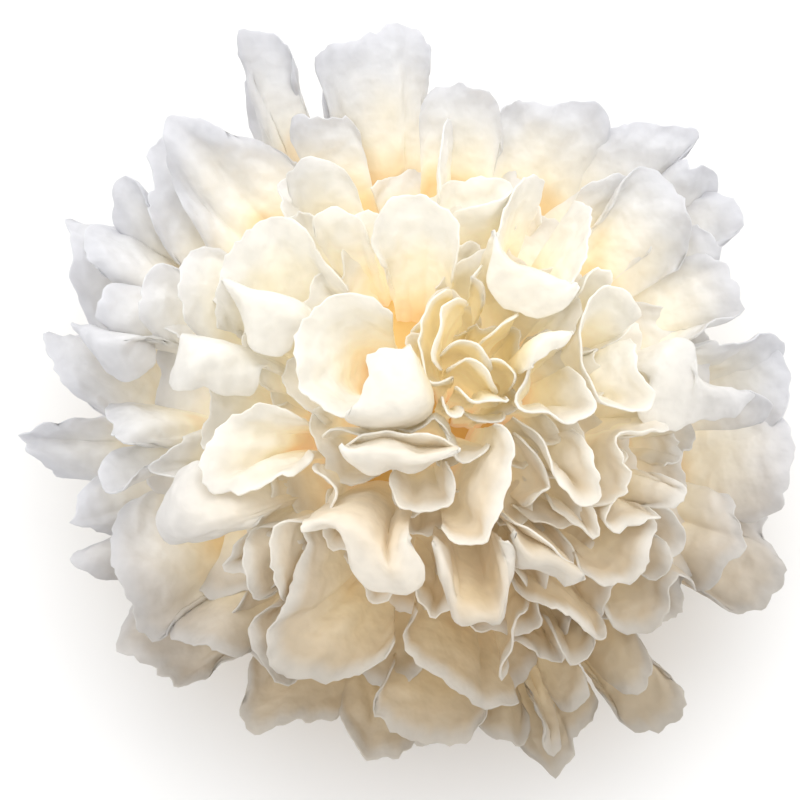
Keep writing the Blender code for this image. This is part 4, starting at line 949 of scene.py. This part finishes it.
def jelly_material(look):
    """Dried jelly flesh of snow fungus.

    The sheet was grown as a jelly and dried in air, so it shrank unevenly: the thin rims are bleached and
    nearly white, the flesh is cream, and what lies deep by the foot keeps the amber of the dried juice. The
    youngest fronds are yellower, those in front are darker and warmer as painted shade, and the thin outermost
    ones went grey. The surface is half matt and finely creased, with painted highlight on the creases' ridges
    and painted shade in their hollows, and has a few brown specks. Light shines through its thin parts, and
    the thick ones scatter it inside, which a painted glow of their own stands in for: it is strongest deep
    down a sheet, and weaker in the painted shade of the front and on the outer fronds."""
    material, tree, output = new_material("dried jelly flesh")
    material.cycles.emission_sampling = "NONE"
    place = add_node(tree, "ShaderNodeTexCoord")
    flesh = add_node(tree, "ShaderNodeUVMap", {"uv_map": "flesh"})
    section = add_node(tree, "ShaderNodeSeparateXYZ", links={0: flesh.outputs[0]})
    tone = add_node(tree, "ShaderNodeAttribute", {"attribute_name": "tone"})
    colour, front, outer = flesh_colour(tree, look, place, section)

    creases = add_node(tree, "ShaderNodeTexNoise",
                       inputs={"Scale": 1 / (CREASE_MM * MM), "Detail": 1.5, "Roughness": 0.6},
                       links={"Vector": place.outputs["Object"]})
    # Painted highlight and shade: the colour is lighter on the creases' ridges and darker in their hollows,
    # from the same noise that gives their bump, over the tissue's own streaky marks.
    streaks_and_crease_shading = add_node(tree, "ShaderNodeMapRange", inputs=span(*STREAKS_AND_CREASE_SHADING), links={0: creases.outputs[0]})
    own_tone = add_node(tree, "ShaderNodeMapRange", inputs=span(*TONES), links={0: tone.outputs["Fac"]})
    lightness = add_node(tree, "ShaderNodeMath", {"operation": "MULTIPLY"},
                         links={0: own_tone.outputs[0], 1: streaks_and_crease_shading.outputs[0]})
    streaked = add_node(tree, "ShaderNodeVectorMath", {"operation": "SCALE"},
                        links={0: colour, 3: lightness.outputs[0]})
    spots = add_node(tree, "ShaderNodeTexVoronoi", inputs={"Scale": 1 / (SPECK_MM * MM)},
                     links={"Vector": place.outputs["Object"]})
    speck = add_node(tree, "ShaderNodeMapRange", inputs=span(*SPECKS), links={0: spots.outputs["Distance"]})
    specked = add_node(tree, "ShaderNodeMix", COLOURS, {7: (*look.speck_colour, 1)},
                       {0: speck.outputs[0], 6: streaked.outputs[0]})
    bump = add_node(tree, "ShaderNodeBump", inputs={"Strength": BUMP_STRENGTH, "Distance": look.crease_m},
                    links={"Height": creases.outputs[0]})

    # Painted glow: the flesh gives a weak light of its own, standing in for light scattered inside it,
    # strongest deep down a sheet and weaker in the front's painted shade and on the outer fronds.
    lit_back = add_node(tree, "ShaderNodeMapRange",
                        inputs=span(0.0, FRONT_SHADE_FOR_LEAST_GLOW, look.painted_glow, GLOW_IN_FRONT * look.painted_glow),
                        links={0: front})
    dimmed = add_node(tree, "ShaderNodeMath", {"operation": "MULTIPLY_ADD"}, {1: -GLOW_LESS_OUTSIDE, 2: 1.0},
                      {0: outer})
    lit = add_node(tree, "ShaderNodeMath", {"operation": "MULTIPLY"},
                   links={0: lit_back.outputs[0], 1: dimmed.outputs[0]})
    glow = add_node(tree, "ShaderNodeMapRange", inputs=span(*GLOWING, 0.0, 0.0),
                    links={0: section.outputs[1], 3: lit.outputs[0]})
    shader = add_node(tree, "ShaderNodeBsdfPrincipled",
                      inputs={"Roughness": look.roughness, "IOR": FLESH_IOR,
                              "Emission Color": (*look.painted_glow_colour, 1)},
                      links={"Base Color": specked.outputs[2], "Normal": bump.outputs[0],
                             "Emission Strength": glow.outputs[0]})
    through = add_node(tree, "ShaderNodeBsdfTranslucent",
                       links={"Color": specked.outputs[2], "Normal": bump.outputs[0]})
    thinness = add_node(tree, "ShaderNodeMapRange", inputs=span(*THIN, 0.0, look.light_through),
                        links={0: section.outputs[1]})
    mix = add_node(tree, "ShaderNodeMixShader",
                   links={0: thinness.outputs[0], 1: shader.outputs[0], 2: through.outputs[0]})
    tree.links.new(mix.outputs[0], output.inputs[0])
    return material


def foot_material(look):
    """The foot: the same jelly, dried solid and hard and finely pored, dark amber where it was cut."""
    material, tree, output = new_material("dried jelly foot")
    place = add_node(tree, "ShaderNodeTexCoord")
    pores = add_node(tree, "ShaderNodeTexNoise",
                     inputs={"Scale": 1 / (PORE_MM * MM), "Detail": 4, "Roughness": 0.65},
                     links={"Vector": place.outputs["Object"]})
    parts = add_node(tree, "ShaderNodeSeparateXYZ", links={0: place.outputs["Object"]})
    above_cut = add_node(tree, "ShaderNodeMapRange", inputs=span(*CUT_M, 0.0, FOOT_LIGHTER),
                         links={0: parts.outputs["Z"]})
    lightness = add_node(tree, "ShaderNodeMath", {"operation": "ADD"},
                         links={0: pores.outputs[0], 1: above_cut.outputs[0]})
    shades = add_node(tree, "ShaderNodeValToRGB", links={0: lightness.outputs[0]})
    set_stops(shades, list(zip(FOOT_STOPS, (look.cut_colour, look.root_colour))))
    bump = add_node(tree, "ShaderNodeBump", inputs={"Strength": BUMP_STRENGTH, "Distance": PORE_DEPTH_M},
                    links={"Height": pores.outputs[0]})
    shader = add_node(tree, "ShaderNodeBsdfPrincipled",
                      inputs={"Roughness": FOOT_ROUGHNESS, "IOR": FLESH_IOR},
                      links={"Base Color": shades.outputs[0], "Normal": bump.outputs[0]})
    tree.links.new(shader.outputs[0], output.inputs[0])
    return material


def floor_material(stage):
    """Painted board, rolled on matt, so that it throws back an even, pale light without gloss."""
    material, tree, output = new_material("pale painted board")
    shader = add_node(tree, "ShaderNodeBsdfPrincipled",
                      inputs={"Base Color": (*stage.floor_colour, 1), "Roughness": 0.9})
    tree.links.new(shader.outputs[0], output.inputs[0])
    return material


def colour_setting(name, description, hex_colour):
    """A property that holds a colour, given as sRGB hex."""
    return bpy.props.FloatVectorProperty(
        name=name, description=description, default=linear(hex_colour), subtype="COLOR")


def number_setting(name, description, default, subtype="NONE", unit="NONE"):
    """A property that holds a number, such as a share, a size or a strength."""
    return bpy.props.FloatProperty(
        name=name, description=description, default=default, subtype=subtype, unit=unit)


def count_setting(name, description, default):
    """A property that holds a whole number."""
    return bpy.props.IntProperty(name=name, description=description, default=default)


class FrondSizes(bpy.types.PropertyGroup):
    """Sizes of the fronds' flesh and relief, in millimetres, and of their mesh."""

    flesh_mm: number_setting("Flesh", "Thickness of a frond, mm", 0.38)
    wave_mm: number_setting("Waves", "How far rims wave up and down, mm", 1.3)
    wave_length_mm: number_setting("Wave length", "Spacing of the waves, mm", 13.0)
    fold_mm: number_setting("Folds", "Height of the folds at the rim, mm", 0.45)
    fold_length_mm: number_setting("Fold length", "Spacing of the folds, mm", 9.0)
    crinkle_mm: number_setting("Crinkles", "Height of the crinkles, mm", 0.16)
    crinkle_length_mm: number_setting("Crinkle length", "Spacing of the crinkles, mm", 4.2)
    notch_mm: number_setting("Nicks", "How uneven the rim's edge is, mm", 0.28)
    notch_length_mm: number_setting("Nick length", "Spacing of the nicks, mm", 3.2)
    column_mm: number_setting("Column", "Mesh spacing along a rim, mm", 0.8)
    rows: count_setting("Rows", "Mesh rows from root to rim", 20)
    foot_rows: count_setting("Foot rows", "Mesh rows down the foot", 40)
    foot_sides: count_setting("Foot sides", "Mesh sides round the foot", 96)
    seed: count_setting("Seed", "Start of the drawn values", 7)


class JellyLook(bpy.types.PropertyGroup):
    """Colours and finish of the dried jelly."""

    rim_colour: colour_setting("Rim", "Bleached rims", "FBF8F0")
    body_colour: colour_setting("Body", "Cream flesh", "F8F5EC")
    deep_colour: colour_setting("Deep", "Flesh low down between the fronds", "FAF1D6")
    root_colour: colour_setting("Root", "Amber flesh by the foot", "F0C87A")
    outer_colour: colour_setting("Outer", "Thin outer fronds", "D2D4DE")
    outer_front_shade_colour: colour_setting("Outer, in front", "Thin outer fronds of the front", "A89C88")
    # Painted shade: the darker grey of the outer fronds in front, turned from the light.
    cut_colour: colour_setting("Cut", "Dark flesh at the cut", "9A6A34")
    # Painted shade: the darker, warmer colour of the front side, turned from the light.
    front_shade_colour: colour_setting("Tan", "Flesh of the front fronds, dried darker", "DCBD82")
    speck_colour: colour_setting("Specks", "The few brown specks", "7A4A22")
    crown_colour: colour_setting("Crown", "Young fronds in the middle", "FAEAB8")
    # Colour of the painted glow, a light of the flesh's own.
    painted_glow_colour: colour_setting("Inner light colour", "Of the light scattered inside", "FFF0CA")
    crown: number_setting("Crown share", "How far the crown takes its colour", 0.9, "FACTOR")
    # How far the front side takes its painted shade.
    tan: number_setting("Tanned", "How far the front fronds are darker", 0.85, "FACTOR")
    bleach: number_setting("Bleach", "How far the outer fronds lose their cream", 0.7, "FACTOR")
    roughness: number_setting("Roughness", "Of the flesh's surface", 0.42, "FACTOR")
    light_through: number_setting("Light through", "Share of the light through thin rims", 0.4, "FACTOR")
    # Strength of the painted glow.
    painted_glow: number_setting("Inner light", "Light that the thick flesh scatters out again", 0.2)
    crease_m: number_setting("Creases", "Depth of the fine creases", 0.0007, unit="LENGTH")


class StageLook(bpy.types.PropertyGroup):
    """Floor, light and camera."""

    floor_m: number_setting("Floor", "Side of the floor", 4.0, unit="LENGTH")
    floor_colour: colour_setting("Floor colour", "Pale board", "ECECEC")
    sky_front: number_setting("Sky in front", "Strength of the soft light from the front", 0.78)
    sky_back: number_setting("Sky behind", "Strength of the soft light from behind", 2.0)
    key_w: number_setting("Key", "Power of the key light, W", 3.0)
    key_m: number_setting("Key size", "Side of the key light", 1.1, unit="LENGTH")
    key_place: bpy.props.FloatVectorProperty(
        name="Key place", description="Behind, above and a little to the right", default=(0.15, 0.75, 0.85),
        subtype="TRANSLATION")
    gamma: number_setting("Gamma", "Of the view, for a bright and soft picture", 1.15)


def settings():
    """The add-on's sizes, looks and stage."""
    scene = bpy.context.scene
    return scene.fungus_sizes, scene.fungus_look, scene.fungus_stage


def flesh_of(look):
    """The flesh material, made once and shared."""
    return bpy.data.materials.get("dried jelly flesh") or jelly_material(look)


class FUNGUS_OT_seen_fronds(bpy.types.Operator):
    """Adds the fronds that show from above, in five pieces by where they stand"""

    bl_idname = "fungus.seen_fronds"
    bl_label = "Fronds seen from above"

    def execute(self, context):
        size, look, _ = settings()
        for number, (piece, rows) in enumerate(RIMS.items()):
            rng = np.random.default_rng(size.seed + number)
            solids = [
                frond(sheet_curves(seen_rim(lift, rim, size, rng), flare, droop), size, rng)
                for _, flare, droop, lift, rim in rows
            ]
            make_piece(piece, solids, flesh_of(look), rng)
        return {"FINISHED"}


class FUNGUS_OT_folded_fronds(bpy.types.Operator):
    """Adds the fronds whose lips fold over"""

    bl_idname = "fungus.folded_fronds"
    bl_label = "Folded fronds"

    def execute(self, context):
        size, look, _ = settings()
        rng = np.random.default_rng(size.seed + 10)
        solids = []
        for _, lift, edge_lift, fold, edge in FOLDED:
            curves = folded_curves(seen_rim(lift, fold, size, rng), seen_rim(edge_lift, edge, size, rng))
            solids.append(frond(curves, size, rng, FOLDED_WHITER))
        make_piece("folded_fronds", solids, flesh_of(look), rng)
        return {"FINISHED"}


class FUNGUS_OT_side_fronds(bpy.types.Operator):
    """Adds the rings of fronds round the sides and the underside, and those low down inside"""

    bl_idname = "fungus.side_fronds"
    bl_label = "Side fronds"

    def execute(self, context):
        size, look, _ = settings()
        for piece, rings, number in (("side_fronds", SIDE_RINGS, 20), ("inner_fronds", INNER_RINGS, 50)):
            rng = np.random.default_rng(size.seed + number)
            solids = [frond(sheet_curves(rim, SIDE_FLARE, 0.0), size, rng) for rim in side_rims(rings)]
            make_piece(piece, solids, flesh_of(look), rng)
        return {"FINISHED"}


class FUNGUS_OT_ruffles(bpy.types.Operator):
    """Adds the small ruffles that fill the spaces between the large fronds"""

    bl_idname = "fungus.ruffles"
    bl_label = "Small ruffles"

    def execute(self, context):
        size, look, _ = settings()
        rng = np.random.default_rng(size.seed + 30)
        solids = [frond(sheet_curves(rim, RUFFLE_FLARE, 0.0), size, rng) for rim in ruffle_rims(rng)]
        make_piece("small_ruffles", solids, flesh_of(look), rng)
        return {"FINISHED"}


class FUNGUS_OT_foot(bpy.types.Operator):
    """Adds the solid foot with its cut face"""

    bl_idname = "fungus.foot"
    bl_label = "Foot"

    def execute(self, context):
        size, look, _ = settings()
        rng = np.random.default_rng(size.seed + 40)
        make_piece("foot", [foot_solid(size, rng)], foot_material(look), rng)
        return {"FINISHED"}


class FUNGUS_OT_stage(bpy.types.Operator):
    """Adds the floor, the light and the camera"""

    bl_idname = "fungus.stage"
    bl_label = "Stage"

    def execute(self, context):
        _, _, stage = settings()
        scene = context.scene
        half = stage.floor_m / 2
        corners = [(-half, -half, 0), (half, -half, 0), (half, half, 0), (-half, half, 0)]
        mesh = bpy.data.meshes.new("floor")
        mesh.from_pydata(corners, [], [(0, 1, 2, 3)])
        mesh.materials.append(floor_material(stage))
        floor = bpy.data.objects.new("floor", mesh)
        scene.collection.objects.link(floor)

        world = bpy.data.worlds.new("soft light")
        world.use_nodes = True
        sky = world.node_tree
        heading = add_node(sky, "ShaderNodeTexCoord")
        parts = add_node(sky, "ShaderNodeSeparateXYZ", links={0: heading.outputs["Generated"]})
        strength = add_node(sky, "ShaderNodeMapRange", inputs=span(-1, 1, stage.sky_front, stage.sky_back),
                            links={0: parts.outputs["Y"]})
        background = sky.nodes["Background"]
        background.inputs["Color"].default_value = (1, 1, 1, 1)
        sky.links.new(strength.outputs[0], background.inputs["Strength"])
        scene.world = world

        aim = Vector(VIEW_MIDDLE * MM)
        key = bpy.data.lights.new("key", "AREA")
        key.energy = stage.key_w
        key.size = stage.key_m
        lamp = bpy.data.objects.new("key", key)
        lamp.location = stage.key_place
        lamp.rotation_euler = (aim - lamp.location).to_track_quat("-Z", "Y").to_euler()
        scene.collection.objects.link(lamp)

        lens = bpy.data.cameras.new("camera")
        lens.sensor_width = SENSOR_MM
        lens.lens = SENSOR_MM * VIEW_DISTANCE / (PHOTO_PX * MM_PER_PX)
        lens.clip_start = CLIP_START_M
        camera = bpy.data.objects.new("camera", lens)
        back = Vector((0, -math.cos(VIEW_ELEVATION), math.sin(VIEW_ELEVATION)))
        sideways = Vector((-FRAME_OFFSET_PX * MM_PER_PX * MM, 0, 0))
        camera.location = aim + sideways + back * VIEW_DISTANCE * MM
        camera.rotation_euler = (math.pi / 2 - VIEW_ELEVATION, 0, 0)
        scene.collection.objects.link(camera)
        scene.camera = camera
        scene.view_settings.view_transform = "Standard"
        scene.view_settings.gamma = stage.gamma
        return {"FINISHED"}


class FUNGUS_PT_panel(bpy.types.Panel):
    """Lists the pieces and their settings"""

    bl_idname = "FUNGUS_PT_panel"
    bl_label = "Snow fungus"
    bl_space_type = "VIEW_3D"
    bl_region_type = "UI"
    bl_category = "Snow fungus"

    def draw(self, context):
        for operator in OPERATORS:
            self.layout.operator(operator.bl_idname)
        for group in settings():
            box = self.layout.box()
            for name in group.__annotations__:
                box.prop(group, name)


OPERATORS = (
    FUNGUS_OT_foot,
    FUNGUS_OT_seen_fronds,
    FUNGUS_OT_folded_fronds,
    FUNGUS_OT_side_fronds,
    FUNGUS_OT_ruffles,
    FUNGUS_OT_stage,
)
CLASSES = (FrondSizes, JellyLook, StageLook) + OPERATORS + (FUNGUS_PT_panel,)


def register():
    for each in CLASSES:
        bpy.utils.register_class(each)
    bpy.types.Scene.fungus_sizes = bpy.props.PointerProperty(type=FrondSizes)
    bpy.types.Scene.fungus_look = bpy.props.PointerProperty(type=JellyLook)
    bpy.types.Scene.fungus_stage = bpy.props.PointerProperty(type=StageLook)


def unregister():
    del bpy.types.Scene.fungus_stage
    del bpy.types.Scene.fungus_look
    del bpy.types.Scene.fungus_sizes
    for each in reversed(CLASSES):
        bpy.utils.unregister_class(each)


def main():
    register()
    bpy.ops.fungus.foot()
    bpy.ops.fungus.seen_fronds()
    bpy.ops.fungus.folded_fronds()
    bpy.ops.fungus.side_fronds()
    bpy.ops.fungus.ruffles()
    bpy.ops.fungus.stage()


if __name__ == "__main__":
    main()
